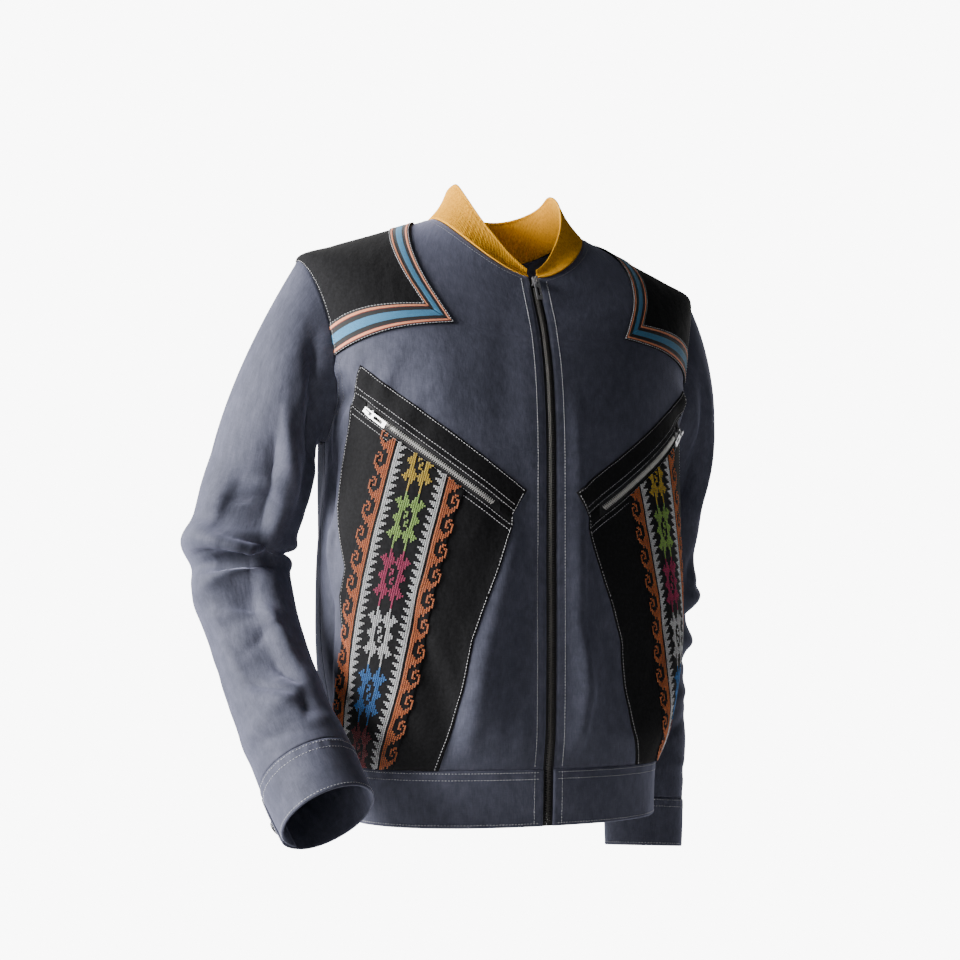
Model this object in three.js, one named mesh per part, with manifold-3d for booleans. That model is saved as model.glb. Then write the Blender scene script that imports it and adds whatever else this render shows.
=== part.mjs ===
// A bomber jacket in its worn, hollow form: cloth walls cut as a maker cuts them, with the
// seams 0.3 mm open, and the hard zip pieces and buttons on them.
// Millimetres. +Z is up, -Y is the front and +X is the wearer's left. The origin is the middle
// of the neck at the height where the shoulder seams meet the collar.
import * as THREE from "three";
import { mergeVertices } from "three/addons/utils/BufferGeometryUtils.js";
import Module from "manifold-3d";

// ---- driving dimensions --------------------------------------------------------------------
const GAP = 0.3;                     // between pieces at a seam, and between layers
const CUFF_GAP = 0.5;                // between a sleeve's slanted end and its cuff
const TWILL = 1.6;                   // wall of the fronts, back and sleeves
const BAND_WALL = 2.4;               // folded waistband and cuffs
const RIB_WALL = 2.6;                // double rib knit of the collar
const PATCH_WALL = 1.0;              // black cloth laid on the fronts
const RIBBON_WALL = 0.9;             // striped ribbon and stitched band
const TAPE_WALL = 0.6;
const WAIST_Z = -572;                // seam of the waistband
const WAISTBAND_DROP = 54;
const HEM_DRAW_IN = 3;               // the waistband is this much narrower at the hem
const ZIP_OPENING = 5.5;             // half of the gap between the folded front edges
const TAPE_HALF = 15;                // half of both zip tapes together
const TEETH_HALF = 2.9;
const TEETH_RISE = 2.0;
const ARMHOLE_FRONT = 21;            // degrees that the armhole cuts into the front
const ARMHOLE_BACK = 34;
const CUFF_DROP = 52;
const CUFF_TAPER = 0.95;
const CUFF_START = -58;              // where the cuff's lower end lies, behind the outer side
const CUFF_LAP = 24;                 // degrees of the cuff's lap under its button
const CUFF_RAMP = { from: 290, to: 350 };         // degrees round where the upper end climbs
const BUTTON = { radius: 7.5, thickness: 2.6, taper: 0.9, place: 0.55 };

// Sections of the body, from the waist seam (level 0) over the underarm (1) and the shoulder
// point (2) to the neck seam (3). "squareness" is 2 for an ellipse.
const BODY = smoothTable(
  ["level", "halfWidth", "front", "back", "sideZ", "frontZ", "backZ", "squareness"],
  [
    [0.00, 163, 113, 118, -572, -572, -572, 2.3],
    [0.12, 180, 119, 124, -536, -536, -536, 2.3],
    [0.45, 197, 123, 130, -424, -426, -424, 2.3],
    [0.75, 198, 124, 134, -325, -332, -325, 2.3],
    [1.00, 197, 125, 138, -246, -264, -246, 2.3],
    [1.50, 209, 122, 138, -150, -200, -165, 2.2],
    [2.00, 228, 112, 120, -60, -143, -96, 1.9],
    [2.25, 195, 105, 108, -44, -125, -74, 2.0],
    [2.50, 157, 97, 94, -29, -107, -52, 2.1],
    [3.00, 85, 83, 66, 0, -75, -24, 2.3],
  ],
);

const ROUNDING = { spread: 0.3, reach: 0.75 };    // in levels, about the shoulder point's level

// A sleeve leaves the armhole falling over the shoulder and rising a little at the underarm,
// and reaches its first section with this pull.
const CAP = { fall: 1.8, climb: 0.35, pull: 1.1 };
const SECTION_REACH = 12;            // the middle line's direction is taken over this distance

// Sections of each sleeve below its cap, by the distance along its middle line. "turn" swings
// the section towards the back.
const SLEEVE_COLUMNS = ["along", "out", "y", "z", "across", "deep", "turn"];
const RIGHT_SLEEVE = {
  side: -1,
  length: 343,
  table: smoothTable(SLEEVE_COLUMNS, [
    [0, 257, 27, -270, 49, 61, 0],
    [42, 264, 38, -310, 52, 57, 0],
    [94, 274, 42, -361, 50, 54, 0],
    [153, 267, 26, -417, 46, 51, 0],
    [210, 257, 0, -467, 44, 48, 0],
    [277, 245, -40, -520, 43, 46, 0],
    [343, 231, -82, -569, 45, 46, 0],
  ]),
  stations: [18, 38, 56, 70, 80, 90, 99, 108, 120, 140, 165, 192, 220, 250, 282, 314, 343],
  folds: foldTable([
    // along, round, reach, span, height, lean: the elbow's roll and the hollow under it first
    [86, 20, 12, 75, 9, 0],
    [106, 45, 9, 70, -9, 4],
    [20, 50, 26, 34, -6, 55],
    [10, 95, 30, 26, 5, 30],
    [62, 60, 12, 40, -6, -14],
    [132, 15, 14, 45, 4, -16],
    [150, 70, 16, 40, -5, 26],
    [186, 20, 16, 42, -4, 18],
    [238, 60, 20, 60, -4, 26],
    [270, 100, 18, 50, 4, -18],
    [90, 180, 10, 50, -8, 0],
    [72, 175, 9, 40, 5, 0],
    [110, 190, 9, 40, 5, 6],
    [300, 30, 16, 60, 3, 10],
    [40, 250, 22, 50, 4, -20],
  ]),
};
const LEFT_SLEEVE = {
  side: 1,
  length: 357,
  table: smoothTable(SLEEVE_COLUMNS, [
    [0, 229, 64, -272, 36, 60, 20],
    [75, 222, 80, -345, 38, 60, 28],
    [140, 219, 86, -410, 38, 58, 30],
    [190, 214, 88, -460, 40, 54, 30],
    [270, 212, 84, -540, 41, 50, 25],
    [357, 206, 74, -626, 41, 45, 20],
  ]),
  stations: [26, 54, 82, 106, 124, 140, 156, 174, 198, 226, 256, 290, 324, 357],
  folds: foldTable([
    [120, 30, 16, 60, 4, 8],
    [150, 45, 11, 70, -5, 6],
    [60, 50, 24, 40, -4, 30],
    [178, 20, 14, 50, 3, -12],
    [230, 70, 20, 50, -3, 20],
    [285, 20, 18, 60, 3, 14],
    [40, 290, 22, 50, -3, -20],
    [150, 290, 14, 50, -3, 10],
  ]),
};

// Soft folds of the body: distance round from the middle of the front (minus is the wearer's
// right), height, half length, half width, rise, and the lean of the fold from upright.
const BODY_FOLDS = creaseTable([
  [-205, -182, 62, 11, 4.0, 78],
  [-215, -205, 50, 11, -3.5, 66],
  [-60, -500, 95, 24, 4.0, -10],
  [-100, -520, 70, 22, -3.0, -12],
  [38, -490, 110, 20, 4.0, 5],
  [78, -505, 80, 22, -3.5, 10],
  [150, -505, 70, 26, 4.0, 14],
  [205, -190, 60, 12, 4.0, -74],
  [-170, -545, 40, 20, 3.5, -8],
  [-300, -300, 70, 24, -4.0, 30],
  [-330, -520, 60, 26, 4.0, 10],
  [-400, -160, 60, 22, 3.5, 60],
  [-455, -500, 80, 28, -3.5, -6],
  [-520, -300, 110, 30, 3.0, 4],
  [330, -510, 60, 26, 4.0, -10],
  [300, -300, 70, 24, -4.0, -28],
  [400, -170, 60, 22, 3.5, -58],
  [440, -480, 80, 28, -3.0, 8],
]);
const ROUND_PER_DEGREE = 3.05;       // millimetres round the body, for placing its folds
const QUIET = { waist: 0.12, neck: 0.3, cuff: 30 };   // folds die out this near a seam

// Collar, by the angle from the middle of the front: how high it stands and how far it leans in.
const COLLAR = smoothTable(
  ["angle", "height", "lean"],
  [
    [0, 6, 2],
    [14, 17, 8],
    [30, 29, 15],
    [60, 40, 24],
    [90, 44, 28],
    [130, 46, 20],
    [180, 48, 16],
  ],
);

// Outlines of the shoulder pieces: distance round from the middle of the front, level. They
// reach past the panel's edge where the piece ends at a seam.
const PATCH_CORNER = [98, 1.94];
const PATCH_INNER_CORNER = [129, 2.03];
const SHOULDER_OUTER = [182, 3.05];
const SHOULDER_INNER = [212, 2.95];
const ARMHOLE_OUTER = [270, 1.29];
const ARMHOLE_INNER = [270, 1.48];
const PATCH = [[PATCH_CORNER, SHOULDER_OUTER, [400, 3.3], ARMHOLE_OUTER]];
const TRIM = [
  [PATCH_CORNER, SHOULDER_OUTER, SHOULDER_INNER, PATCH_INNER_CORNER],
  [PATCH_CORNER, PATCH_INNER_CORNER, ARMHOLE_INNER, ARMHOLE_OUTER],
];
// Outlines lower down: distance round from the middle of the front, height.
const POCKET_TOP = { from: [206, -203.5], to: [40, -325] };      // upper edge of the zip's slot
const POCKET_SLOT = 12;                                           // height of that slot
const POCKET_YOKE = [[[197, -178], [26, -302], POCKET_TOP.to, POCKET_TOP.from]];
const POCKET_TEETH = { from: 60, to: 176, half: 3.0 };
const POCKET_TAPE = { from: 41, to: 206.5 };
const POCKET_SLIDER = { past: 8, heading: 12 };   // from the upper end of the teeth
const FRONT_SLIDER = { level: 2.9, below: 2.7 };
// Black side panel under the pocket: height, inner edge, outer edge.
const SIDE_ROWS = [
  [-337.3, 41, 222],
  [-377, 56, 214],
  [-404, 67, 221],
  [-450, 84, 219],
  [-499, 93, 231],
  [-590, 112, 242],
];
const SIDE_PANEL = [
  [[207, -215.8], [41, -337.3], [222, -337.3], [224, -317], [219, -280]],
  ...bands(SIDE_ROWS),
];
const BAND_HALF = 45;                // half of the stitched band, measured level
const BAND_MIDDLE = [
  [-328, 144],
  [-393, 163],
  [-455, 176],
  [-510, 187],
  [-590, 202],
];
const STITCHED_BAND = [
  [[163, -250], [88.5, -304.6], [99, -328], [189, -328]],
  ...bands(BAND_MIDDLE.map(([z, middle]) => [z, middle - BAND_HALF, middle + BAND_HALF])),
];

// Rows and columns of the walls
const BODY_LEVELS = [0, 0.07, 0.16, 0.29, 0.43, 0.57, 0.71, 0.86];
const ARMHOLE_STEP = 20;
const YOKE_LEVELS = [2.2, 2.5, 2.75, 3];
const FRONT_COLUMNS = 9;
const BACK_COLUMNS = 14;
const CAP_STEPS = [0.2, 0.4, 0.6, 0.8];
const CUFF_COLUMNS = 26;
const WAISTBAND_STEPS = [0, 0.5, 1];
const COLLAR_STEPS = [0, 0.5, 1];

const wasm = await Module();
wasm.setup();

const finish = (color, roughness, metalness = 0) =>
  new THREE.MeshStandardMaterial({ color, roughness, metalness });
const SLATE = finish(0x3d4252, 0.8);
const BLACK = finish(0x0d0d10, 0.85);
const GOLD = finish(0xc9962e, 0.9);
const RIBBON = finish(0x2f7fb0, 0.75);
const STITCHED = finish(0xc9c3b4, 0.85);
const TAPE = finish(0x131316, 0.8);
const GUNMETAL = finish(0x55585e, 0.4, 0.9);
const SILVER = finish(0xc8cacd, 0.3, 1);
const BUTTON_BLACK = finish(0x15161a, 0.45);

const jacket = new THREE.Group();

// ---- numbers -------------------------------------------------------------------------------
function radians(degrees) {
  return (degrees * Math.PI) / 180;
}

// A smooth curve through the knots that never overshoots them (monotone cubic).
function monotone(x, y) {
  const last = x.length - 1;
  const step = x.slice(1).map((value, k) => value - x[k]);
  const rise = step.map((h, k) => (y[k + 1] - y[k]) / h);
  const slope = y.map((_, k) => {
    if (k === 0) return rise[0];
    if (k === last) return rise[last - 1];
    if (rise[k - 1] * rise[k] <= 0) return 0;
    const before = 2 * step[k] + step[k - 1];
    const after = step[k] + 2 * step[k - 1];
    return (before + after) / (before / rise[k - 1] + after / rise[k]);
  });
  return (query) => {
    const q = Math.min(Math.max(query, x[0]), x[last]);
    let k = 0;
    while (k < last - 1 && q >= x[k + 1]) k += 1;
    const t = (q - x[k]) / step[k];
    return (2 * t ** 3 - 3 * t ** 2 + 1) * y[k] + (t ** 3 - 2 * t ** 2 + t) * step[k] * slope[k]
      + (3 * t ** 2 - 2 * t ** 3) * y[k + 1] + (t ** 3 - t ** 2) * step[k] * slope[k + 1];
  };
}

// Each named column as a smooth function of the first one.
function smoothTable(columns, rows) {
  const first = rows.map((row) => row[0]);
  return Object.fromEntries(columns.map((name, k) => [name, monotone(first, rows.map((row) => row[k]))]));
}

function foldTable(rows) {
  const named = ([along, round, reach, span, height, lean]) => ({ along, round, reach, span, height, lean });
  return rows.map(named);
}

function creaseTable(rows) {
  return rows.map(([round, z, half, width, rise, lean]) => ({ round, z, half, width, rise, lean }));
}

// Outlines between neighbouring rows of [height, inner, outer].
function bands(rows) {
  return rows.slice(1).map((row, k) => {
    const above = rows[k];
    return [[above[1], above[0]], [row[1], row[0]], [row[2], row[0]], [above[2], above[0]]];
  });
}

const lerp = (a, b, t) => a + (b - a) * t;
const moved = (point, direction, distance) => point.clone().addScaledVector(direction, distance);

// ---- the body's form -----------------------------------------------------------------------
function plainBody(angle, level) {
  const sin = Math.sin(radians(angle));
  const cos = Math.cos(radians(angle));
  const power = BODY.squareness(level);
  const rho = (Math.abs(sin) ** power + Math.abs(cos) ** power) ** (-1 / power);
  const depth = cos > 0 ? BODY.front(level) : BODY.back(level);
  const endZ = cos > 0 ? BODY.frontZ(level) : BODY.backZ(level);
  const sideZ = BODY.sideZ(level);
  return new THREE.Vector3(
    BODY.halfWidth(level) * rho * sin,
    -depth * rho * cos,
    lerp(sideZ, endZ, cos * cos),
  );
}

// The turn from the chest and back to the shoulders is rounded off, but for the shoulder seam.
function roundedBody(angle, level) {
  const near = Math.max(0, 1 - Math.abs(level - 2) / ROUNDING.reach);
  const spread = ROUNDING.spread * near * Math.abs(Math.cos(radians(angle)));
  return plainBody(angle, level).multiplyScalar(0.5)
    .addScaledVector(plainBody(angle, level - spread), 0.25)
    .addScaledVector(plainBody(angle, level + spread), 0.25);
}

// Outward direction of a surface at an angle and level.
function outwardOf(form, angle, level) {
  const turn = 0.05;
  const climb = 1e-3;
  const across = form(angle + turn, level).sub(form(angle - turn, level));
  const up = form(angle, level + climb).sub(form(angle, level - climb));
  return across.cross(up).normalize();
}

// Directions at the ends of the tables are taken just inside them.
function insideLevel(level) {
  return Math.min(Math.max(level, 0.002), 2.998);
}

function bodyFoldRise(angle, z, level) {
  const turn = ((angle + 540) % 360) - 180;
  const round = turn * ROUND_PER_DEGREE;
  const wholeTurn = 360 * ROUND_PER_DEGREE;
  const nearSeam = Math.min(1, level / QUIET.waist, (3 - level) / QUIET.neck);
  return BODY_FOLDS.reduce((sum, fold) => {
    let off = round - fold.round;
    off -= Math.round(off / wholeTurn) * wholeTurn;
    const lean = radians(fold.lean);
    const rise = z - fold.z;
    const along = rise * Math.cos(lean) + off * Math.sin(lean);
    const across = off * Math.cos(lean) - rise * Math.sin(lean);
    return sum + fold.rise * Math.exp(-((along / fold.half) ** 2) - (across / fold.width) ** 2);
  }, 0) * nearSeam;
}

function body(angle, level) {
  const point = roundedBody(angle, level);
  const out = outwardOf(roundedBody, angle, insideLevel(level));
  return point.addScaledVector(out, bodyFoldRise(angle, point.z, level));
}

function bodyFrame(angle, level) {
  const out = outwardOf(body, angle, insideLevel(level));
  if (level === 0) out.setZ(0).normalize();
  return { point: body(angle, level), out };
}

// The armhole's edge, 0 at the shoulder point, 90 at the front and 180 under the arm.
function armholeLevel(turn) {
  return 1.5 + 0.5 * Math.cos(radians(turn));
}

function armholeAngle(side, turn) {
  const cut = Math.sin(radians(turn)) > 0 ? ARMHOLE_FRONT : ARMHOLE_BACK;
  return side * (90 - cut * Math.sin(radians(turn)));
}

// ---- walls ---------------------------------------------------------------------------------
function meshFrom(points, triangles) {
  const geometry = new THREE.BufferGeometry();
  geometry.setAttribute("position", new THREE.Float32BufferAttribute(points.flatMap((p) => p.toArray()), 3));
  geometry.setIndex(triangles);
  return geometry;
}

// A wall on rows of cells { point, out }: the inner face on the points, the outer one a
// thickness further out. A wrapped wall closes on itself round each row.
function wall(rows, thickness, wrapped = false) {
  const high = rows.length;
  const wide = rows[0].length;
  const cells = rows.flat();
  const points = [
    ...cells.map((cell) => cell.point.clone()),
    ...cells.map((cell) => moved(cell.point, cell.out, thickness)),
  ];
  const at = (row, column, outer) => (outer ? cells.length : 0) + row * wide + (column % wide);
  const triangles = [];
  const quad = (a, b, c, d) => triangles.push(a, b, c, a, c, d);
  const spans = wrapped ? wide : wide - 1;
  for (let row = 0; row < high - 1; row += 1) {
    for (let column = 0; column < spans; column += 1) {
      const corners = [[row, column], [row, column + 1], [row + 1, column + 1], [row + 1, column]];
      quad(...corners.map(([r, c]) => at(r, c, true)));
      quad(...corners.reverse().map(([r, c]) => at(r, c, false)));
    }
  }
  for (let column = 0; column < spans; column += 1) {
    quad(at(0, column, false), at(0, column + 1, false), at(0, column + 1, true), at(0, column, true));
    const top = high - 1;
    const next = column + 1;
    quad(at(top, column, true), at(top, next, true), at(top, next, false), at(top, column, false));
  }
  if (!wrapped) {
    for (let row = 0; row < high - 1; row += 1) {
      const end = wide - 1;
      quad(at(row, 0, true), at(row + 1, 0, true), at(row + 1, 0, false), at(row, 0, false));
      quad(at(row, end, false), at(row + 1, end, false), at(row + 1, end, true), at(row, end, true));
    }
  }
  return outward(meshFrom(points, triangles));
}

// Turns the faces round where the rows ran the other way.
function outward(geometry) {
  const position = geometry.getAttribute("position");
  const index = geometry.getIndex().array;
  const corner = [0, 1, 2].map(() => new THREE.Vector3());
  let volume = 0;
  for (let k = 0; k < index.length; k += 3) {
    corner.forEach((v, n) => v.fromBufferAttribute(position, index[k + n]));
    volume += corner[0].dot(corner[1].cross(corner[2]));
  }
  if (volume < 0) {
    for (let k = 0; k < index.length; k += 3) [index[k], index[k + 1]] = [index[k + 1], index[k]];
  }
  return geometry;
}

// Each cell's place on the cloth: distance round from the middle of the front, with its height
// or its level.
function measure(rows, levels, startRound) {
  rows.forEach((row, r) => {
    let round = startRound;
    row.forEach((cell, c) => {
      if (c > 0) round += cell.point.distanceTo(row[c - 1].point);
      cell.byHeight = [round, cell.point.z];
      cell.byLevel = [round, levels[r].level];
    });
  });
}

function cut(polygon, map, from, to) {
  const depth = ({ [map]: place }) =>
    (to[0] - from[0]) * (place[1] - from[1]) - (to[1] - from[1]) * (place[0] - from[0]);
  const kept = [];
  polygon.forEach((cell, k) => {
    const next = polygon[(k + 1) % polygon.length];
    const here = depth(cell);
    const there = depth(next);
    if (here >= 0) kept.push(cell);
    if (here * there < 0) kept.push(between(cell, next, here / (here - there)));
  });
  return kept;
}

function between(a, b, t) {
  const placed = (map) => [lerp(a[map][0], b[map][0], t), lerp(a[map][1], b[map][1], t)];
  return {
    point: a.point.clone().lerp(b.point, t),
    out: a.out.clone().lerp(b.out, t),
    byHeight: placed("byHeight"),
    byLevel: placed("byLevel"),
  };
}

function area(outline) {
  return outline.reduce((sum, [x, y], k) => {
    const [nextX, nextY] = outline[(k + 1) % outline.length];
    return sum + (x * nextY - nextX * y) / 2;
  }, 0);
}

// A layer of cloth on a panel: the panel's own facets, cut to the outlines and moved out, so
// that the layer follows the panel exactly. "lift" is measured from the panel's outer face.
function layer(panel, outlines, lift, thickness, map = "byHeight") {
  const cells = [];
  const known = new Map();
  const triangles = [];
  const number = (cell) => {
    const key = cell[map].map((value) => value.toFixed(5)).join(" ");
    if (!known.has(key)) {
      known.set(key, cells.length);
      cells.push(cell);
    }
    return known.get(key);
  };
  for (const outline of outlines) {
    const turned = area(outline) < 0 ? [...outline].reverse() : outline;
    for (const facet of panel.facets) {
      let polygon = anticlockwise(facet, map);
      turned.forEach((corner, k) => {
        if (polygon.length) polygon = cut(polygon, map, corner, turned[(k + 1) % turned.length]);
      });
      const ids = polygon.map(number).filter((id, k, all) => id !== all[(k + 1) % all.length]);
      for (let k = 1; k < ids.length - 1; k += 1) triangles.push([ids[0], ids[k], ids[k + 1]]);
    }
  }
  const edges = new Set(triangles.flatMap(([a, b, c]) => [`${a} ${b}`, `${b} ${c}`, `${c} ${a}`]));
  const points = [];
  for (const offset of [lift, lift + thickness]) {
    for (const cell of cells) points.push(moved(cell.point, cell.out, panel.thickness + offset));
  }
  const index = triangles.flatMap(([a, b, c]) => [
    a, c, b, a + cells.length, b + cells.length, c + cells.length,
  ]);
  for (const edge of edges) {
    const [a, b] = edge.split(" ").map(Number);
    if (edges.has(`${b} ${a}`)) continue;
    index.push(a, b, b + cells.length, a, b + cells.length, a + cells.length);
  }
  return outward(meshFrom(points, index));
}

function facetsOf(rows) {
  const facets = [];
  for (let r = 0; r < rows.length - 1; r += 1) {
    for (let c = 0; c < rows[0].length - 1; c += 1) {
      const [a, b, d, e] = [rows[r][c], rows[r][c + 1], rows[r + 1][c + 1], rows[r + 1][c]];
      facets.push([a, b, d], [a, d, e]);
    }
  }
  return facets;
}

function anticlockwise(facet, map) {
  return area(facet.map((cell) => cell[map])) < 0 ? [...facet].reverse() : facet;
}

function add(name, geometry, material) {
  const mesh = new THREE.Mesh(geometry, material);
  mesh.name = name;
  jacket.add(mesh);
  return mesh;
}

// ---- fronts and back -----------------------------------------------------------------------
const degreesFor = (distance, radius) => (distance / radius) * (180 / Math.PI);

// Half a seam's gap, as an angle at the side of the body.
function seamAngle(level) {
  return degreesFor(GAP / 2, (BODY.front(level) + BODY.back(level)) / 2);
}

function zipAngle(level, distance) {
  return degreesFor(distance, BODY.halfWidth(level));
}

// Levels of the rows, each with the angle where the panel ends at the side.
function bodyRows(edgeCut) {
  const rows = BODY_LEVELS.map((level) => ({ level, end: 90 }));
  for (let turn = 180; turn >= 0; turn -= ARMHOLE_STEP) {
    rows.push({ level: armholeLevel(turn), end: 90 - edgeCut * Math.sin(radians(turn)), turn });
  }
  YOKE_LEVELS.forEach((level) => rows.push({ level, end: 90 }));
  return rows;
}

// Angles of a front's columns: its folded edge, the zip tape's edge, then evenly to the side.
function frontAngles(level, end) {
  const start = zipAngle(level, TAPE_HALF);
  const stop = end - seamAngle(level);
  const even = Array.from({ length: FRONT_COLUMNS }, (_, c) => lerp(start, stop, c / (FRONT_COLUMNS - 1)));
  return [zipAngle(level, ZIP_OPENING), ...even];
}

function backAngles(level, end) {
  const start = 180 - end + seamAngle(level);
  return Array.from({ length: BACK_COLUMNS + 1 }, (_, c) => lerp(start, 360 - start, c / BACK_COLUMNS));
}

function frontPanel(side) {
  const levels = bodyRows(ARMHOLE_FRONT);
  const rows = levels.map(({ level, end }) =>
    frontAngles(level, end).map((angle) => bodyFrame(side * angle, level)));
  measure(rows, levels, ZIP_OPENING);
  return { rows, facets: facetsOf(rows), thickness: TWILL };
}

function backPanel() {
  const rows = bodyRows(ARMHOLE_BACK).map(({ level, end }) =>
    backAngles(level, end).map((angle) => bodyFrame(angle, level)));
  return { rows, thickness: TWILL };
}

// ---- what grows from an edge ---------------------------------------------------------------
// Start of a wall that leaves a panel's edge: "inward" points into the opening along the
// panel, and "leaving" is the new wall's own direction. The two edges stay a gap apart.
function edgeStart(cell, inward, leaving, thickness) {
  const along = Math.max(leaving.dot(inward), 0.05);
  const lift = leaving.dot(cell.out);
  const out = cell.out.clone().multiplyScalar(along).addScaledVector(inward, -lift).normalize();
  const point = moved(cell.point, inward, GAP + thickness * Math.max(0, -out.dot(inward)));
  return { point, out };
}

function inwardAt(cells, k, middle) {
  const wide = cells.length;
  const before = cells[(k + wide - 1) % wide].point;
  const after = cells[(k + 1) % wide].point;
  const inward = after.clone().sub(before).cross(cells[k].out).normalize();
  return inward.dot(middle.clone().sub(cells[k].point)) < 0 ? inward.negate() : inward;
}

function middleOf(cells) {
  return cells.reduce((sum, cell) => sum.add(cell.point), new THREE.Vector3()).divideScalar(cells.length);
}

// Outward directions of a tube from its own neighbouring points.
function tubeCells(rings) {
  const wide = rings[0].length;
  return rings.map((ring, r) => ring.map((point, c) => {
    const before = rings[Math.max(r - 1, 0)][c];
    const after = rings[Math.min(r + 1, rings.length - 1)][c];
    const down = after.clone().sub(before);
    const round = ring[(c + 1) % wide].clone().sub(ring[(c + wide - 1) % wide]);
    const out = round.cross(down).normalize();
    return { point, out: out.dot(point.clone().sub(middlePoint(ring))) < 0 ? out.negate() : out };
  }));
}

function middlePoint(ring) {
  return ring.reduce((sum, point) => sum.add(point), new THREE.Vector3()).divideScalar(ring.length);
}

function hermite(from, leave, to, arrive, t) {
  return new THREE.Vector3()
    .addScaledVector(from, 2 * t ** 3 - 3 * t ** 2 + 1)
    .addScaledVector(leave, t ** 3 - 2 * t ** 2 + t)
    .addScaledVector(to, 3 * t ** 2 - 2 * t ** 3)
    .addScaledVector(arrive, t ** 3 - t ** 2);
}

// ---- sleeves -------------------------------------------------------------------------------
function sleeveMiddle(sleeve, along) {
  const { table, side } = sleeve;
  return new THREE.Vector3(side * table.out(along), table.y(along), table.z(along));
}

function sleeveFrame(sleeve, along) {
  const before = sleeveMiddle(sleeve, Math.max(along - SECTION_REACH, 0));
  const after = sleeveMiddle(sleeve, Math.min(along + SECTION_REACH, sleeve.length));
  const down = after.sub(before).normalize();
  const turn = radians(sleeve.table.turn(along));
  const outer = new THREE.Vector3(sleeve.side * Math.cos(turn), Math.sin(turn), 0);
  outer.addScaledVector(down, -outer.dot(down)).normalize();
  const front = down.clone().cross(outer);
  if (front.y > 0) front.negate();
  return { middle: sleeveMiddle(sleeve, along), down, outer, front };
}

function sleeveFoldRise(sleeve, along, turn) {
  return sleeve.folds.reduce((sum, fold) => {
    const off = ((turn - fold.round + 540) % 360) - 180;
    const place = along - fold.along - (fold.lean * off) / 90;
    return sum + fold.height * Math.exp(-((place / fold.reach) ** 2) - (off / fold.span) ** 2);
  }, 0);
}

// 0 is the outer side of the arm, 90 its front and 180 the side at the body.
function sleevePoint(sleeve, along, turn) {
  const { middle, outer, front } = sleeveFrame(sleeve, along);
  const { table } = sleeve;
  const quiet = Math.min(1, (sleeve.length - along) / QUIET.cuff);
  const rise = sleeveFoldRise(sleeve, along, turn) * quiet;
  return middle
    .addScaledVector(outer, (table.across(along) + rise) * Math.cos(radians(turn)))
    .addScaledVector(front, (table.deep(along) + rise) * Math.sin(radians(turn)));
}

const TURNS = Array.from({ length: 360 / ARMHOLE_STEP }, (_, k) => k * ARMHOLE_STEP);

// The sleeve's own direction where it leaves the armhole: down and out over the shoulder,
// straight out at the underarm.
function leavingDirection(side, turn) {
  const top = Math.max(Math.cos(radians(turn)), 0);
  const under = Math.max(-Math.cos(radians(turn)), 0);
  return new THREE.Vector3(side, 0, CAP.climb * under - CAP.fall * top).normalize();
}

function sleeveRows(sleeve) {
  const edge = TURNS.map((turn) => bodyFrame(armholeAngle(sleeve.side, turn), armholeLevel(turn)));
  const middle = middleOf(edge);
  const starts = edge.map((cell, k) => {
    const inward = inwardAt(edge, k, middle);
    return edgeStart(cell, inward, leavingDirection(sleeve.side, TURNS[k]), TWILL);
  });
  const { down } = sleeveFrame(sleeve, 0);
  const bicep = TURNS.map((turn) => sleevePoint(sleeve, 0, turn));
  const cap = CAP_STEPS.map((t) => starts.map(({ point }, k) => {
    const pull = point.distanceTo(bicep[k]);
    const leave = leavingDirection(sleeve.side, TURNS[k]).multiplyScalar(pull);
    return hermite(point, leave, bicep[k], down.clone().multiplyScalar(pull * CAP.pull), t);
  }));
  const lower = sleeve.stations.map((along) => TURNS.map((turn) => sleevePoint(sleeve, along, turn)));
  const rings = [starts.map(({ point }) => point), ...cap, bicep, ...lower];
  const rows = tubeCells(rings);
  rows[0] = starts;
  return rows;
}

// ---- cuffs ---------------------------------------------------------------------------------
// The cuff goes once round from the outer back of the wrist and laps over its own start.
function cuffPoint(sleeve, drop, turn, lift) {
  const { middle, down, outer, front } = sleeveFrame(sleeve, sleeve.length);
  const taper = lerp(1, CUFF_TAPER, drop / CUFF_DROP);
  const across = sleeve.table.across(sleeve.length) * taper + lift;
  const deep = sleeve.table.deep(sleeve.length) * taper + lift;
  return middle
    .addScaledVector(down, drop)
    .addScaledVector(outer, across * Math.cos(radians(turn)))
    .addScaledVector(front, deep * Math.sin(radians(turn)));
}

function cuffFrame(sleeve, drop, turn, lift) {
  const point = cuffPoint(sleeve, drop, turn, lift);
  const round = cuffPoint(sleeve, drop, turn + 1, lift).sub(cuffPoint(sleeve, drop, turn - 1, lift));
  const fall = cuffPoint(sleeve, drop + 1, turn, lift).sub(cuffPoint(sleeve, drop - 1, turn, lift));
  const out = round.cross(fall).normalize();
  const { middle, down } = sleeveFrame(sleeve, sleeve.length);
  const fromMiddle = point.clone().sub(moved(middle, down, drop));
  if (out.dot(fromMiddle) < 0) out.negate();
  return { point, out };
}

function lapLift(turned) {
  const { from, to } = CUFF_RAMP;
  const t = Math.min(Math.max((turned - from) / (to - from), 0), 1);
  return (BAND_WALL + GAP) * t * t * (3 - 2 * t);
}

function cuffRows(sleeve) {
  return [CUFF_GAP, CUFF_DROP / 2, CUFF_DROP].map((drop) =>
    Array.from({ length: CUFF_COLUMNS + 1 }, (_, c) => {
      const turned = lerp(0, 360 + CUFF_LAP, c / CUFF_COLUMNS);
      return cuffFrame(sleeve, drop, CUFF_START + turned, lapLift(turned));
    }));
}

// ---- waistband -----------------------------------------------------------------------------
function waistbandCell(angle, step) {
  const { point, out } = bodyFrame(angle, 0);
  const drawn = moved(point, out, -HEM_DRAW_IN * step);
  drawn.z = WAIST_Z - GAP - WAISTBAND_DROP * step;
  return { point: drawn, out };
}

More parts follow.
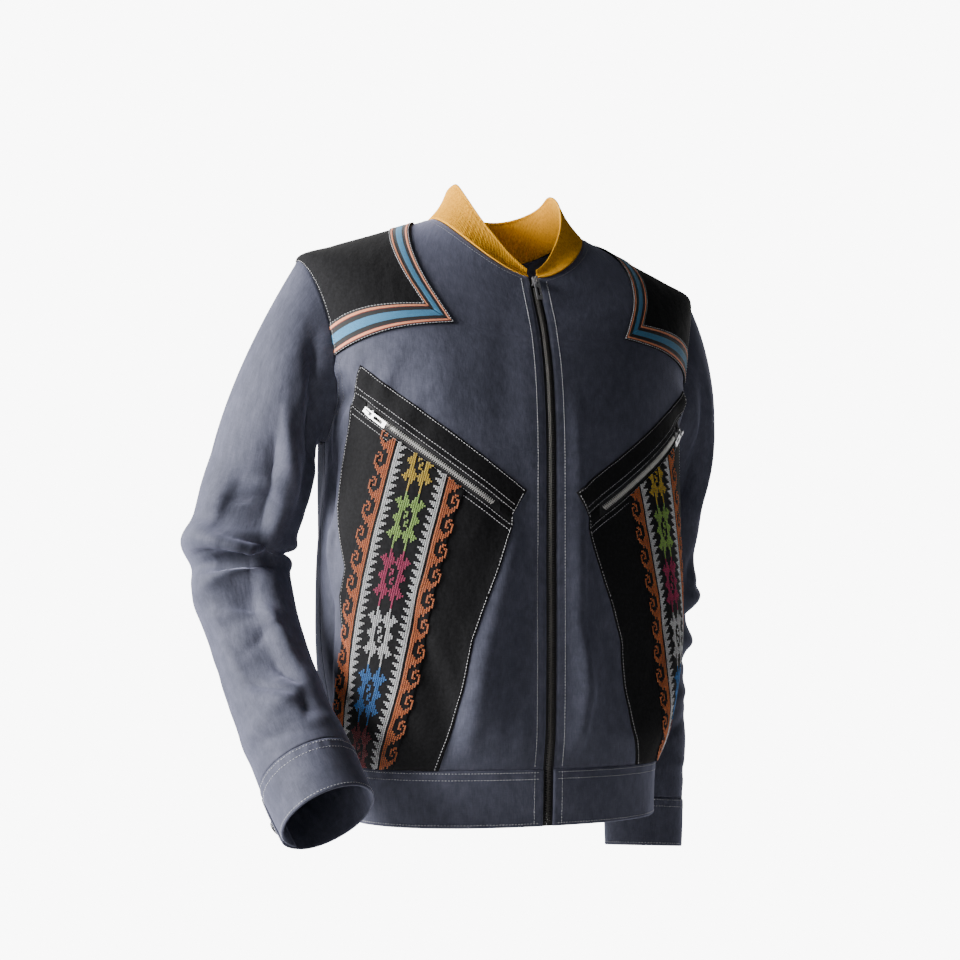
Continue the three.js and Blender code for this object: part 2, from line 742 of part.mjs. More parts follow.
function waistbandRows(angles) {
  return WAISTBAND_STEPS.map((step) => angles.map((angle) => waistbandCell(angle, step)));
}

// ---- collar --------------------------------------------------------------------------------
function collarRows() {
  const front = frontAngles(3, 90);
  const back = backAngles(3, 90).slice(1, -1);
  const angles = [...front, ...back, ...front.map((angle) => 360 - angle).reverse()];
  const edge = angles.map((angle) => bodyFrame(angle, 3));
  const middle = middleOf(edge);
  const cells = edge.map((cell, k) => {
    const fromFront = Math.min(angles[k], 360 - angles[k]);
    const height = COLLAR.height(fromFront);
    const inside = new THREE.Vector3(middle.x - cell.point.x, middle.y - cell.point.y, 0).normalize();
    const rise = new THREE.Vector3(0, 0, height).addScaledVector(inside, COLLAR.lean(fromFront));
    const inward = inwardAt(edge, Math.min(Math.max(k, 1), edge.length - 2), middle);
    return { rise, base: edgeStart(cell, inward, rise.clone().normalize(), RIB_WALL) };
  });
  return COLLAR_STEPS.map((step) => cells.map(({ rise, base }) => {
    return { point: moved(base.point, rise, step), out: base.out };
  }));
}

// ---- zips ----------------------------------------------------------------------------------
// Rows of cells at some distances from the middle of the front, from the hem to the neck.
function zipRows(rounds, inset) {
  const hem = WAISTBAND_STEPS.slice(1).reverse().map((step) => ({ step }));
  const levels = [...hem, ...bodyRows(0).map(({ level }) => ({ level }))];
  return levels.map(({ step, level }) => rounds.map((round) => {
    const at = zipAngle(level ?? 0, round);
    const cell = step === undefined ? bodyFrame(at, level) : waistbandCell(at, step);
    return { point: moved(cell.point, cell.out, inset), out: cell.out };
  }));
}

// A place on a panel: point and directions, found on the facet that holds it.
function spotOn(panel, round, z) {
  for (const [a, b, c] of panel.facets) {
    const corners = [a.byHeight, b.byHeight, c.byHeight];
    const shares = corners.map((_, k) => area(corners.with(k, [round, z])) / area(corners));
    if (shares.some((share) => share < -1e-9)) continue;
    const blend = (name) => [a, b, c].reduce(
      (sum, corner, k) => sum.addScaledVector(corner[name], shares[k]), new THREE.Vector3(),
    );
    return { point: blend("point"), out: blend("out").normalize() };
  }
  throw new Error(`no cloth at ${round}, ${z}`);
}

function fused(pieces) {
  const solid = pieces.map((piece) => {
    piece.deleteAttribute("normal");
    piece.deleteAttribute("uv");
    const merged = mergeVertices(piece, 1e-4);
    const mesh = new wasm.Mesh({
      numProp: 3,
      vertProperties: new Float32Array(merged.getAttribute("position").array),
      triVerts: new Uint32Array(merged.getIndex().array),
    });
    return new wasm.Manifold(mesh);
  }).reduce((sum, next) => sum.add(next));
  const { vertProperties, triVerts } = solid.getMesh();
  const geometry = new THREE.BufferGeometry();
  geometry.setAttribute("position", new THREE.Float32BufferAttribute(Array.from(vertProperties), 3));
  geometry.setIndex(Array.from(triVerts));
  return geometry;
}

const SLIDER = {
  length: 11, head: 8.4, tail: 5.6, thickness: 3.0, bridgeWide: 2.2, eye: 2.8, strip: 1.0, leg: 1.0,
};
const PULL = { length: 25, wide: 6.4, thickness: 1.2, bar: 1.4, eyeWide: 3.4, eyeLong: 5.4 };
const PULL_WINDOW = { from: 9.5, to: 20.5, wide: 3.2 };
const BRIDGE_SPAN = 7;

// In the slider's frame +X runs from the closed to the open end and +Z away from the cloth.
function sliderGeometry() {
  const { length, head, tail, thickness, bridgeWide, eye, strip, leg } = SLIDER;
  const outline = new THREE.Shape([
    new THREE.Vector2(-length / 2, -tail / 2),
    new THREE.Vector2(length * 0.1, -tail / 2),
    new THREE.Vector2(length * 0.35, -head / 2),
    new THREE.Vector2(length / 2, -head / 2),
    new THREE.Vector2(length / 2, head / 2),
    new THREE.Vector2(length * 0.35, head / 2),
    new THREE.Vector2(length * 0.1, tail / 2),
    new THREE.Vector2(-length / 2, tail / 2),
  ]);
  const plate = new THREE.ExtrudeGeometry(outline, { depth: thickness, bevelEnabled: false });
  const stripPiece = new THREE.BoxGeometry(BRIDGE_SPAN, bridgeWide, strip);
  stripPiece.translate(0, 0, thickness + eye + strip / 2);
  const legs = [-1, 1].map((end) => {
    const sunk = 0.5;
    const piece = new THREE.BoxGeometry(leg, bridgeWide, eye + strip + sunk);
    return piece.translate(end * (BRIDGE_SPAN - leg) / 2, 0, thickness + (eye + strip - sunk) / 2);
  });
  return fused([plate, stripPiece, ...legs]);
}

// The pull's axis is at its own origin and it hangs towards +X.
function pullGeometry() {
  const { length, wide, thickness, bar, eyeWide, eyeLong } = PULL;
  const rectangle = (from, to, width) => [
    new THREE.Vector2(from, -width / 2),
    new THREE.Vector2(to, -width / 2),
    new THREE.Vector2(to, width / 2),
    new THREE.Vector2(from, width / 2),
  ];
  const plate = new THREE.Shape(rectangle(-bar / 2, length, wide));
  plate.holes.push(new THREE.Path(rectangle(bar / 2, bar / 2 + eyeLong, eyeWide).reverse()));
  plate.holes.push(new THREE.Path(rectangle(PULL_WINDOW.from, PULL_WINDOW.to, PULL_WINDOW.wide).reverse()));
  const geometry = new THREE.ExtrudeGeometry(plate, { depth: thickness, bevelEnabled: false });
  return geometry.translate(0, 0, -thickness / 2);
}

// Places a hard piece on the cloth: +Z along "out" and +X along "heading".
function placed(mesh, point, heading, out) {
  const z = out.clone().normalize();
  const x = heading.clone().addScaledVector(z, -heading.dot(z)).normalize();
  mesh.quaternion.setFromRotationMatrix(new THREE.Matrix4().makeBasis(x, z.clone().cross(x), z));
  mesh.position.copy(point);
}

function addSliderAndPull(name, point, heading, out) {
  placed(add(`${name}_slider`, sliderGeometry(), SILVER), point, heading, out);
  const axis = moved(point, out, SLIDER.thickness + SLIDER.eye / 2);
  placed(add(`${name}_pull`, pullGeometry(), SILVER), axis, heading, out);
}

// ---- the jacket's pieces -------------------------------------------------------------------
const named = (name, side) => `${name}_${side < 0 ? "right" : "left"}`;

function addPocket(panel, side) {
  const [topFrom, topTo] = [POCKET_TOP.from, POCKET_TOP.to];
  const onSlot = (round, down) => {
    const t = (round - topFrom[0]) / (topTo[0] - topFrom[0]);
    return [round, lerp(topFrom[1], topTo[1], t) - down];
  };
  const bottom = POCKET_SLOT - GAP;
  const { from: low, to: high } = POCKET_TAPE;
  const tape = [onSlot(high, GAP), onSlot(low, GAP), onSlot(low, bottom), onSlot(high, bottom)];
  add(named("pocket_zip_tape", side), layer(panel, [tape], GAP, TAPE_WALL), TAPE);
  const { from, to, half } = POCKET_TEETH;
  const middle = POCKET_SLOT / 2;
  const above = middle - half;
  const below = middle + half;
  const teeth = [onSlot(to, above), onSlot(from, above), onSlot(from, below), onSlot(to, below)];
  const teethLift = GAP + TAPE_WALL + GAP;
  add(named("pocket_zip_teeth", side), layer(panel, [teeth], teethLift, TEETH_RISE / 2), GUNMETAL);
  const spot = spotOn(panel, ...onSlot(to + POCKET_SLIDER.past, middle));
  const ahead = spotOn(panel, ...onSlot(to - POCKET_SLIDER.heading, middle));
  const point = moved(spot.point, spot.out, panel.thickness + TAPE_WALL + 3 * GAP);
  addSliderAndPull(named("pocket_zip", side), point, ahead.point.sub(spot.point), spot.out);
}

function addFront(side) {
  const panel = frontPanel(side);
  add(named("front", side), wall(panel.rows, TWILL), SLATE);
  add(named("shoulder_patch", side), layer(panel, PATCH, GAP, PATCH_WALL, "byLevel"), BLACK);
  const onPatch = 2 * GAP + PATCH_WALL;
  add(named("shoulder_ribbon", side), layer(panel, TRIM, onPatch, RIBBON_WALL, "byLevel"), RIBBON);
  add(named("pocket_yoke", side), layer(panel, POCKET_YOKE, GAP, PATCH_WALL), BLACK);
  add(named("side_panel", side), layer(panel, SIDE_PANEL, GAP, PATCH_WALL), BLACK);
  add(named("stitched_band", side), layer(panel, STITCHED_BAND, onPatch, RIBBON_WALL), STITCHED);
  addPocket(panel, side);
}

function addSleeve(sleeve) {
  const { side } = sleeve;
  add(named("sleeve", side), wall(sleeveRows(sleeve), TWILL, true), SLATE);
  add(named("cuff", side), wall(cuffRows(sleeve), BAND_WALL), SLATE);
  const turned = 360 + CUFF_LAP / 2;
  const seat = cuffFrame(sleeve, CUFF_DROP * BUTTON.place, CUFF_START + turned, lapLift(turned));
  const { radius, thickness, taper } = BUTTON;
  const button = new THREE.CylinderGeometry(radius, radius * taper, thickness, 16);
  button.rotateX(-Math.PI / 2).translate(0, 0, thickness / 2);
  const { down } = sleeveFrame(sleeve, sleeve.length);
  const mesh = add(named("cuff_button", side), button, BUTTON_BLACK);
  placed(mesh, moved(seat.point, seat.out, BAND_WALL + GAP), down, seat.out);
}

function addWaistband() {
  const front = frontAngles(0, 90);
  add("waistband_left", wall(waistbandRows(front), BAND_WALL), SLATE);
  add("waistband_right", wall(waistbandRows(front.map((angle) => -angle)), BAND_WALL), SLATE);
  add("waistband_back", wall(waistbandRows(backAngles(0, 90)), BAND_WALL), SLATE);
}

function addFrontZip() {
  const under = -(GAP + TAPE_WALL);
  const tape = [GAP / 2, ZIP_OPENING, TAPE_HALF];
  add("front_zip_tape_right", wall(zipRows(tape.map((round) => -round), under), TAPE_WALL), TAPE);
  add("front_zip_tape_left", wall(zipRows(tape, under), TAPE_WALL), TAPE);
  add("front_zip_teeth", wall(zipRows([-TEETH_HALF, TEETH_HALF], 0), TEETH_RISE), GUNMETAL);
  const seat = bodyFrame(0, FRONT_SLIDER.level);
  const below = bodyFrame(0, FRONT_SLIDER.below);
  const point = moved(seat.point, seat.out, TEETH_RISE + GAP);
  addSliderAndPull("front_zip", point, below.point.sub(seat.point), seat.out);
}

[-1, 1].forEach(addFront);
add("back", wall(backPanel().rows, TWILL), SLATE);
[RIGHT_SLEEVE, LEFT_SLEEVE].forEach(addSleeve);
add("collar", wall(collarRows(), RIB_WALL), GOLD);
addWaistband();
addFrontZip();

export default jacket;
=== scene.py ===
import math

import bpy
import numpy as np
from mathutils import Matrix, Vector


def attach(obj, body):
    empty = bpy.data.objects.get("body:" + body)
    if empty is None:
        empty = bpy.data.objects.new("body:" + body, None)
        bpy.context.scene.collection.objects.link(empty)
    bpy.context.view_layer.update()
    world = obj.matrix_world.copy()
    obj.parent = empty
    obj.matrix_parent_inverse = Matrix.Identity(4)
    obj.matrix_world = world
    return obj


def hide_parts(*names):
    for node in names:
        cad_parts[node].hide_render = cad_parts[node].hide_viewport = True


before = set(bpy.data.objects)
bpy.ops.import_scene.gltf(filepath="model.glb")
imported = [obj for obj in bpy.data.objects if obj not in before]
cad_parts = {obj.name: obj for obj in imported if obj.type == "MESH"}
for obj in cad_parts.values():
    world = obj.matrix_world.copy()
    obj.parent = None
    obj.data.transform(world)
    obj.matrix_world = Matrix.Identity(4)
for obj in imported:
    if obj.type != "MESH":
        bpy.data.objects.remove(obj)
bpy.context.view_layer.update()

MM = 0.001

# ---- sizes of the frame's pieces ------------------------------------------------------------
GAP = 0.3
CUFF_GAP = 0.5
TWILL = 1.6
BAND_WALL = 2.4
RIB_WALL = 2.6
PATCH_WALL = 1.0
RIBBON_WALL = 0.9
TAPE_WALL = 0.6
WAIST_Z = -572
WAISTBAND_DROP = 54
HEM_DRAW_IN = 3
ZIP_OPENING = 5.5
TAPE_HALF = 15
ARMHOLE_FRONT = 21
ARMHOLE_BACK = 34
CUFF_DROP = 52
CUFF_TAPER = 0.95
CUFF_START = -58
CUFF_LAP = 24
CUFF_RAMP = (290, 350)
BUTTON_PLACE = 0.55
BUTTON_RADIUS = 7.5
ON_PATCH = 2 * GAP + PATCH_WALL

FINE = 2.6                  # step of the sleeves' grids
SIDES = {"right": -1, "left": 1}


# ---- numbers --------------------------------------------------------------------------------
def monotone(x, y):
    """A smooth curve through the knots that never overshoots them."""
    x, y = np.asarray(x, float), np.asarray(y, float)
    step = np.diff(x)
    rise = np.diff(y) / step
    slope = np.zeros_like(y)
    slope[0], slope[-1] = rise[0], rise[-1]
    for k in range(1, len(x) - 1):
        if rise[k - 1] * rise[k] > 0:
            before = 2 * step[k] + step[k - 1]
            after = step[k] + 2 * step[k - 1]
            slope[k] = (before + after) / (before / rise[k - 1] + after / rise[k])

    def at(query):
        q = np.clip(query, x[0], x[-1])
        k = np.clip(np.searchsorted(x, q, side="right") - 1, 0, len(x) - 2)
        t = (q - x[k]) / step[k]
        return ((2 * t**3 - 3 * t**2 + 1) * y[k] + (t**3 - 2 * t**2 + t) * step[k] * slope[k]
                + (3 * t**2 - 2 * t**3) * y[k + 1] + (t**3 - t**2) * step[k] * slope[k + 1])

    return at


def smooth_table(columns, rows):
    rows = np.array(rows, float)
    return {name: monotone(rows[:, 0], rows[:, k]) for k, name in enumerate(columns)}


def unit(v):
    return v / np.maximum(np.linalg.norm(v, axis=-1, keepdims=True), 1e-12)


def lerp(a, b, t):
    return a + (b - a) * t


def ease(t):
    t = np.clip(t, 0, 1)
    return t * t * (3 - 2 * t)


def run_length(points):
    """How far along a path each of its points lies."""
    return np.concatenate([[0], np.cumsum(np.linalg.norm(np.diff(points, axis=0), axis=-1))])


# ---- the body's form ------------------------------------------------------------------------
BODY = smooth_table(
    ["level", "half_width", "front", "back", "side_z", "front_z", "back_z", "squareness"],
    [
        [0.00, 163, 113, 118, -572, -572, -572, 2.3],
        [0.12, 180, 119, 124, -536, -536, -536, 2.3],
        [0.45, 197, 123, 130, -424, -426, -424, 2.3],
        [0.75, 198, 124, 134, -325, -332, -325, 2.3],
        [1.00, 197, 125, 138, -246, -264, -246, 2.3],
        [1.50, 209, 122, 138, -150, -200, -165, 2.2],
        [2.00, 228, 112, 120, -60, -143, -96, 1.9],
        [2.25, 195, 105, 108, -44, -125, -74, 2.0],
        [2.50, 157, 97, 94, -29, -107, -52, 2.1],
        [3.00, 85, 83, 66, 0, -75, -24, 2.3],
    ],
)
ROUNDING_SPREAD = 0.3
ROUNDING_REACH = 0.75
ROUNDING_SOFT = 0.09
ROUND_PER_DEGREE = 3.05

# Distance round from the middle of the front (minus is the wearer's right), height, half
# length, half width, rise, lean from upright. The first rows are the frame's own folds.
BODY_FOLDS = [
    [-205, -182, 62, 11, 4.0, 78],
    [-215, -205, 50, 11, -3.5, 66],
    [-60, -500, 95, 24, 4.0, -10],
    [-100, -520, 70, 22, -3.0, -12],
    [38, -490, 110, 20, 4.0, 5],
    [78, -505, 80, 22, -3.5, 10],
    [150, -505, 70, 26, 4.0, 14],
    [205, -190, 60, 12, 4.0, -74],
    [-170, -545, 40, 20, 3.5, -8],
    [-300, -300, 70, 24, -4.0, 30],
    [-330, -520, 60, 26, 4.0, 10],
    [-400, -160, 60, 22, 3.5, 60],
    [-455, -500, 80, 28, -3.5, -6],
    [-520, -300, 110, 30, 3.0, 4],
    [330, -510, 60, 26, 4.0, -10],
    [300, -300, 70, 24, -4.0, -28],
    [400, -170, 60, 22, 3.5, -58],
    [440, -480, 80, 28, -3.0, 8],
]
FINE_BODY_FOLDS = [
    # under the ribbons, towards the armholes
    [-196, -196, 36, 6, 2.6, 74],
    [-205, -186, 30, 5, -2.4, 68],
    [-176, -184, 26, 6, -2.0, 50],
    [-150, -200, 30, 9, 2.2, 30],
    [-228, -235, 40, 7, 2.2, 10],
    [198, -200, 36, 6, 2.2, -70],
    [206, -188, 30, 5, -2.2, -62],
    # between the side panels and the side seams
    [-240, -290, 36, 7, -2.6, -6],
    [-232, -350, 30, 6, 2.6, 14],
    [-238, -410, 34, 8, -2.4, -12],
    [-228, -470, 30, 7, 2.4, 8],
    [240, -300, 36, 7, -2.4, 8],
    [234, -380, 32, 7, 2.4, -12],
    [240, -450, 34, 8, -2.2, 10],
    # on both sides of the zip
    [-24, -420, 150, 9, -1.6, -2],
    [-66, -330, 60, 16, 2.0, -4],
    [-96, -215, 55, 20, 2.4, 4],
    [-40, -200, 70, 14, -1.8, 6],
    [24, -390, 110, 11, 2.6, -3],
    [31, -500, 50, 10, 2.4, 8],
    [52, -430, 45, 12, -2.2, -14],
    [48, -300, 60, 12, -1.6, 6],
    [70, -540, 36, 14, 2.0, 12],
    [-30, -545, 30, 12, 1.8, 6],
    # on the side panels
    [-92, -480, 50, 9, 1.6, -16],
    [-118, -430, 60, 8, -1.6, -10],
    [-150, -540, 30, 9, 1.4, -14],
    [-205, -470, 60, 10, -1.8, -4],
    [-216, -400, 40, 9, 2.0, 6],
    [120, -450, 60, 9, -1.6, 12],
    [205, -460, 60, 10, -1.8, 6],
    # on the back
    [-380, -230, 60, 10, 2.4, 42],
    [-430, -210, 50, 9, -2.2, 50],
    [-500, -190, 60, 11, 2.2, 80],
    [-560, -420, 70, 12, 2.2, 6],
    [470, -220, 56, 10, 2.4, -46],
    [430, -260, 50, 9, -2.2, -40],
    [-370, -420, 60, 10, 2.4, 16],
    [380, -430, 66, 11, 2.4, -14],
    [520, -520, 40, 12, 2.2, 5],
    [-480, -545, 30, 10, 2.0, -4],
]

# Folds along a line: round and height of both ends, rise, half width on its two sides.
BODY_LINES = [
    # beside the side panel of the right front: a ridge, and the hollow between it and the zip
    [-32, -345, -56, -447, 6.0, 13, 10],
    [-56, -447, -77, -535, 6.8, 15, 10],
    [-77, -535, -88, -566, 3.6, 14, 9],
    [-18, -370, -44, -560, -3.0, 10, 11],
    [25, -215, 30, -330, 3.6, 9, 6],
    [30, -330, 25, -430, 4.0, 9, 5],
    [25, -430, 36, -500, 4.6, 10, 5],
    [36, -500, 27, -560, 3.8, 9, 6],
    [46, -400, 62, -520, -2.6, 10, 12],
    # under the ribbons
    [-150, -196, -206, -176, 3.0, 6, 8],
    [-160, -212, -208, -206, -3.2, 6, 8],
    [-120, -214, -150, -262, 2.6, 12, 10],
    [-188, -214, -214, -236, 2.6, 5, 7],
    [150, -200, 206, -180, 2.8, 6, 8],
    [160, -216, 206, -208, -3.0, 6, 8],
    # between the side panel and the side seam
    [-229, -262, -238, -330, -3.4, 6, 9],
    [-238, -330, -229, -400, 3.0, 7, 8],
    [-229, -400, -241, -480, -3.0, 7, 8],
    [-236, -480, -246, -548, 2.8, 7, 9],
    [231, -300, 240, -380, 2.8, 7, 8],
    [236, -400, 244, -500, -2.8, 7, 9],
    # the back: drag from the armholes, a hollow over the waistband
    [-330, -190, -420, -270, 3.2, 9, 14],
    [-345, -240, -440, -330, -3.0, 9, 14],
    [-520, -180, -470, -300, 2.6, 10, 14],
    [345, -200, 430, -285, 3.0, 9, 14],
    [360, -250, 450, -345, -2.8, 9, 14],
    [-400, -470, -385, -560, 3.0, 9, 14],
    [-470, -480, -478, -560, -2.6, 10, 14],
    [-560, -470, -548, -562, 2.8, 9, 13],
    [500, -480, 492, -560, -2.6, 10, 14],
    [420, -470, 410, -562, 2.8, 9, 13],
]
LINE_TAPER = 0.55           # how much lower a fold is at its ends


def line_rise(lines, u, v):
    """The summed height at (u, v) of folds along lines from (u0, v0) to (u1, v1)."""
    total = np.zeros(np.broadcast(u, v).shape)
    for u0, v0, u1, v1, rise, wide_a, wide_b in lines:
        du, dv = u1 - u0, v1 - v0
        length = math.hypot(du, dv)
        along = ((u - u0) * du + (v - v0) * dv) / length
        across = ((u - u0) * dv - (v - v0) * du) / length
        beyond = np.maximum(0, np.maximum(-along, along - length))
        middle = np.clip(2 * along / length - 1, -1, 1)
        wide = np.where(across > 0, wide_a, wide_b)
        total += rise * (1 - LINE_TAPER * middle**2) * np.exp(
            -((across / wide) ** 2) - (beyond / (0.7 * (wide_a + wide_b))) ** 2)
    return total


def plain_body(angle, level):
    turn = np.radians(angle)
    sin, cos = np.sin(turn), np.cos(turn)
    power = BODY["squareness"](level)
    rho = (np.abs(sin) ** power + np.abs(cos) ** power) ** (-1 / power)
    depth = np.where(cos > 0, BODY["front"](level), BODY["back"](level))
    end_z = np.where(cos > 0, BODY["front_z"](level), BODY["back_z"](level))
    z = lerp(BODY["side_z"](level), end_z, cos * cos)
    return np.stack([BODY["half_width"](level) * rho * sin, -depth * rho * cos, z], -1)


def rounded_body(angle, level):
    away = np.sqrt((level - 2) ** 2 + ROUNDING_SOFT ** 2) - ROUNDING_SOFT / 2
    near = np.maximum(0, 1 - away / ROUNDING_REACH)
    spread = ROUNDING_SPREAD * near * np.abs(np.cos(np.radians(angle)))
    return (0.5 * plain_body(angle, level) + 0.25 * plain_body(angle, level - spread)
            + 0.25 * plain_body(angle, level + spread))


def outward_of(form, angle, level):
    turn, climb = 0.05, 1e-3
    level = np.clip(level, 0.002, 2.998)
    across = form(angle + turn, level) - form(angle - turn, level)
    up = form(angle, level + climb) - form(angle, level - climb)
    return unit(np.cross(across, up))


def body_fold_rise(angle, z, level):
    round_it = (((angle + 540) % 360) - 180) * ROUND_PER_DEGREE
    whole = 360 * ROUND_PER_DEGREE
    quiet = np.minimum(1, np.minimum(level / 0.12, (3 - level) / 0.3))
    total = np.zeros_like(z)
    for round_at, z_at, half, width, rise, lean in BODY_FOLDS + FINE_BODY_FOLDS:
        off = round_it - round_at
        off = off - np.round(off / whole) * whole
        tilt = math.radians(lean)
        up = z - z_at
        along = up * math.cos(tilt) + off * math.sin(tilt)
        across = off * math.cos(tilt) - up * math.sin(tilt)
        total += rise * np.exp(-((along / half) ** 2) - (across / width) ** 2)
    return (total + line_rise(BODY_LINES, round_it, z)) * quiet


def body(angle, level):
    point = rounded_body(angle, level)
    out = outward_of(rounded_body, angle, level)
    return point + out * body_fold_rise(angle, point[..., 2], level)[..., None]


def body_frame(angle, level):
    """Points and outward directions of the body's inner face."""
    angle, level = np.broadcast_arrays(np.asarray(angle, float), np.asarray(level, float))
    out = outward_of(body, angle, level)
    at_waist = (level == 0)[..., None]
    out = unit(np.where(at_waist, out * [1, 1, 0], out))
    return body(angle, level), out


def armhole_level(turn):
    return 1.5 + 0.5 * np.cos(np.radians(turn))


def armhole_angle(side, turn):
    sin = np.sin(np.radians(turn))
    return side * (90 - np.where(sin > 0, ARMHOLE_FRONT, ARMHOLE_BACK) * sin)


# ---- meshes ---------------------------------------------------------------------------------
def make_piece(name, points, faces, uvs=None, smooth=None):
    """A Blender object from millimetres. faces may be a list of lists; uvs go corner by corner."""
    mesh = bpy.data.meshes.new(name)
    faces = faces.tolist() if isinstance(faces, np.ndarray) else faces
    mesh.from_pydata((np.asarray(points) * MM).tolist(), [], faces)
    if uvs is not None:
        layer = mesh.uv_layers.new(name="UVMap")
        layer.data.foreach_set("uv", (np.asarray(uvs, np.float32).reshape(-1, 2) * MM).ravel())
    flags = np.ones(len(faces), bool) if smooth is None else smooth
    mesh.polygons.foreach_set("use_smooth", flags)
    mesh.validate()
    piece = bpy.data.objects.new(name, mesh)
    bpy.context.scene.collection.objects.link(piece)
    return piece


def volume(points, faces):
    a, b, c = points[faces[:, 0]], points[faces[:, 1]], points[faces[:, 2]]
    total = (a * np.cross(b, c)).sum()
    if faces.shape[1] == 4:
        d = points[faces[:, 3]]
        total += (a * np.cross(c, d)).sum()
    return total


def shell(name, outer, inner, uv, wrapped=False):
    """A closed thin shell between two grids of points. uv has one more column if wrapped."""
    rows, columns = outer.shape[:2]
    spans = columns if wrapped else columns - 1
    r, c = np.meshgrid(np.arange(rows - 1), np.arange(spans), indexing="ij")
    corner_r = np.stack([r, r, r + 1, r + 1], -1).reshape(-1, 4)
    corner_c = np.stack([c, c + 1, c + 1, c], -1).reshape(-1, 4)
    count = rows * columns
    face = corner_r * columns + corner_c % columns
    places = uv[corner_r, corner_c]
    faces = [face, face[:, ::-1] + count]
    uvs = [places, places[:, ::-1]]
    shown = 2 * len(face)

    def rim(rs, cs):
        a = rs[:-1] * columns + cs[:-1] % columns
        b = rs[1:] * columns + cs[1:] % columns
        place_a, place_b = uv[rs[:-1], cs[:-1]], uv[rs[1:], cs[1:]]
        faces.append(np.stack([b, a, a + count, b + count], -1))
        uvs.append(np.stack([place_b, place_a, place_a, place_b], 1))

    across = np.arange(spans + 1)
    rim(np.zeros_like(across), across)
    rim(np.full_like(across, rows - 1), across[::-1])
    if not wrapped:
        down = np.arange(rows)
        rim(down[::-1], np.zeros_like(down))
        rim(down, np.full_like(down, columns - 1))
    faces, uvs = np.concatenate(faces), np.concatenate(uvs)
    points = np.concatenate([outer.reshape(-1, 3), inner.reshape(-1, 3)])
    if volume(points, faces) < 0:
        faces, uvs = faces[:, ::-1], uvs[:, ::-1]
    smooth = np.arange(len(faces)) < shown
    return make_piece(name, points, faces, uvs, smooth)


def grid_normals(points, wrapped):
    """Normals of a grid of points from its neighbours, without a sign."""
    if wrapped:
        across = np.roll(points, -1, 1) - np.roll(points, 1, 1)
    else:
        across = np.gradient(points, axis=1)
    down = np.gradient(points, axis=0)
    return unit(np.cross(across, down))


def wall(point, out, thickness, thin):
    """A wall's outer and inner points, drawn to its middle where thin is under 1."""
    middle, half = point + out * thickness / 2, out * (thickness / 2 * thin)[..., None]
    return middle + half, middle - half


def fold_edge(distance, radius):
    """How thick a folded edge still is at this distance from its end, from 0 to 1."""
    t = np.clip(distance / radius, 0, 1)
    return 0.3 + 0.7 * np.sqrt(np.maximum(1 - (1 - t) ** 2, 0))


# ---- panels of the body ---------------------------------------------------------------------
def seam_angle(level):
    return np.degrees(GAP / 2 / ((BODY["front"](level) + BODY["back"](level)) / 2))


def zip_angle(level, distance):
    return np.degrees(distance / BODY["half_width"](level))


def body_levels():
    """Levels from the waist to the neck, and how far each lies round the armhole."""
    lower = np.linspace(0, 1, 84)[:-1]
    turns = np.linspace(180, 0, 57)
    yoke = np.linspace(2, 3, 40)[1:]
    levels = np.concatenate([lower, armhole_level(turns), yoke])
    sunk = np.concatenate([np.zeros(len(lower)), np.sin(np.radians(turns)), np.zeros(len(yoke))])
    return levels, sunk


class Panel:
    """A dense grid on a front or the back, and the way from a place on the cloth to space."""

    def __init__(self, angles, levels, start_round):
        self.levels = levels
        self.angles = angles
        self.point, self.out = body_frame(angles, levels[:, None] * np.ones_like(angles))
        steps = np.linalg.norm(np.diff(self.point, axis=1), axis=-1)
        self.round = start_round + np.concatenate(
            [np.zeros((len(levels), 1)), np.cumsum(steps, axis=1)], axis=1)

    def reach(self, level):
        """Distance round at the panel's far edge."""
        return np.interp(level, self.levels, self.round[:, -1])

    def at_level(self, round_it, level):
        round_it, level = np.broadcast_arrays(np.asarray(round_it, float), np.asarray(level, float))
        shape = round_it.shape
        round_it, level = round_it.ravel(), level.ravel()
        row = np.interp(level, self.levels, np.arange(len(self.levels)))
        low = np.minimum(row.astype(int), len(self.levels) - 2)
        part = row - low

        def on_row(r):
            rounds = self.round[r]
            c = np.clip((rounds <= round_it[:, None]).sum(1) - 1, 0, rounds.shape[1] - 2)
            k = np.arange(len(r))
            t = (round_it - rounds[k, c]) / (rounds[k, c + 1] - rounds[k, c])
            t = np.clip(t, -0.5, 1.5)[:, None]
            return (lerp(self.point[r, c], self.point[r, c + 1], t),
                    lerp(self.out[r, c], self.out[r, c + 1], t))

        below, above = on_row(low), on_row(low + 1)
        part = part[:, None]
        point, out = lerp(below[0], above[0], part), unit(lerp(below[1], above[1], part))
        return point.reshape(*shape, 3), out.reshape(*shape, 3)

    def level_of(self, round_it, z):
        low, high = np.zeros_like(round_it), np.full_like(round_it, 2.4)
        for _ in range(18):
            middle = (low + high) / 2
            above = self.at_level(round_it, middle)[0][..., 2] > z
            low, high = np.where(above, low, middle), np.where(above, middle, high)
        return (low + high) / 2

    def at_height(self, round_it, z):
        round_it, z = np.broadcast_arrays(np.asarray(round_it, float), np.asarray(z, float))
        return self.at_level(round_it, self.level_of(round_it, z))


def front_panel(side):
    levels, sunk = body_levels()
    start = zip_angle(levels, ZIP_OPENING)
    stop = 90 - ARMHOLE_FRONT * sunk - seam_angle(levels)
    share = np.linspace(0, 1, 82)
    angles = side * (start[:, None] + (stop - start)[:, None] * share)
    return Panel(angles, levels, ZIP_OPENING)


def back_panel():
    levels, sunk = body_levels()
    start = 90 + ARMHOLE_BACK * sunk + seam_angle(levels)
    share = np.linspace(0, 1, 140)
    angles = start[:, None] + (360 - 2 * start)[:, None] * share
    return Panel(angles, levels, 0)


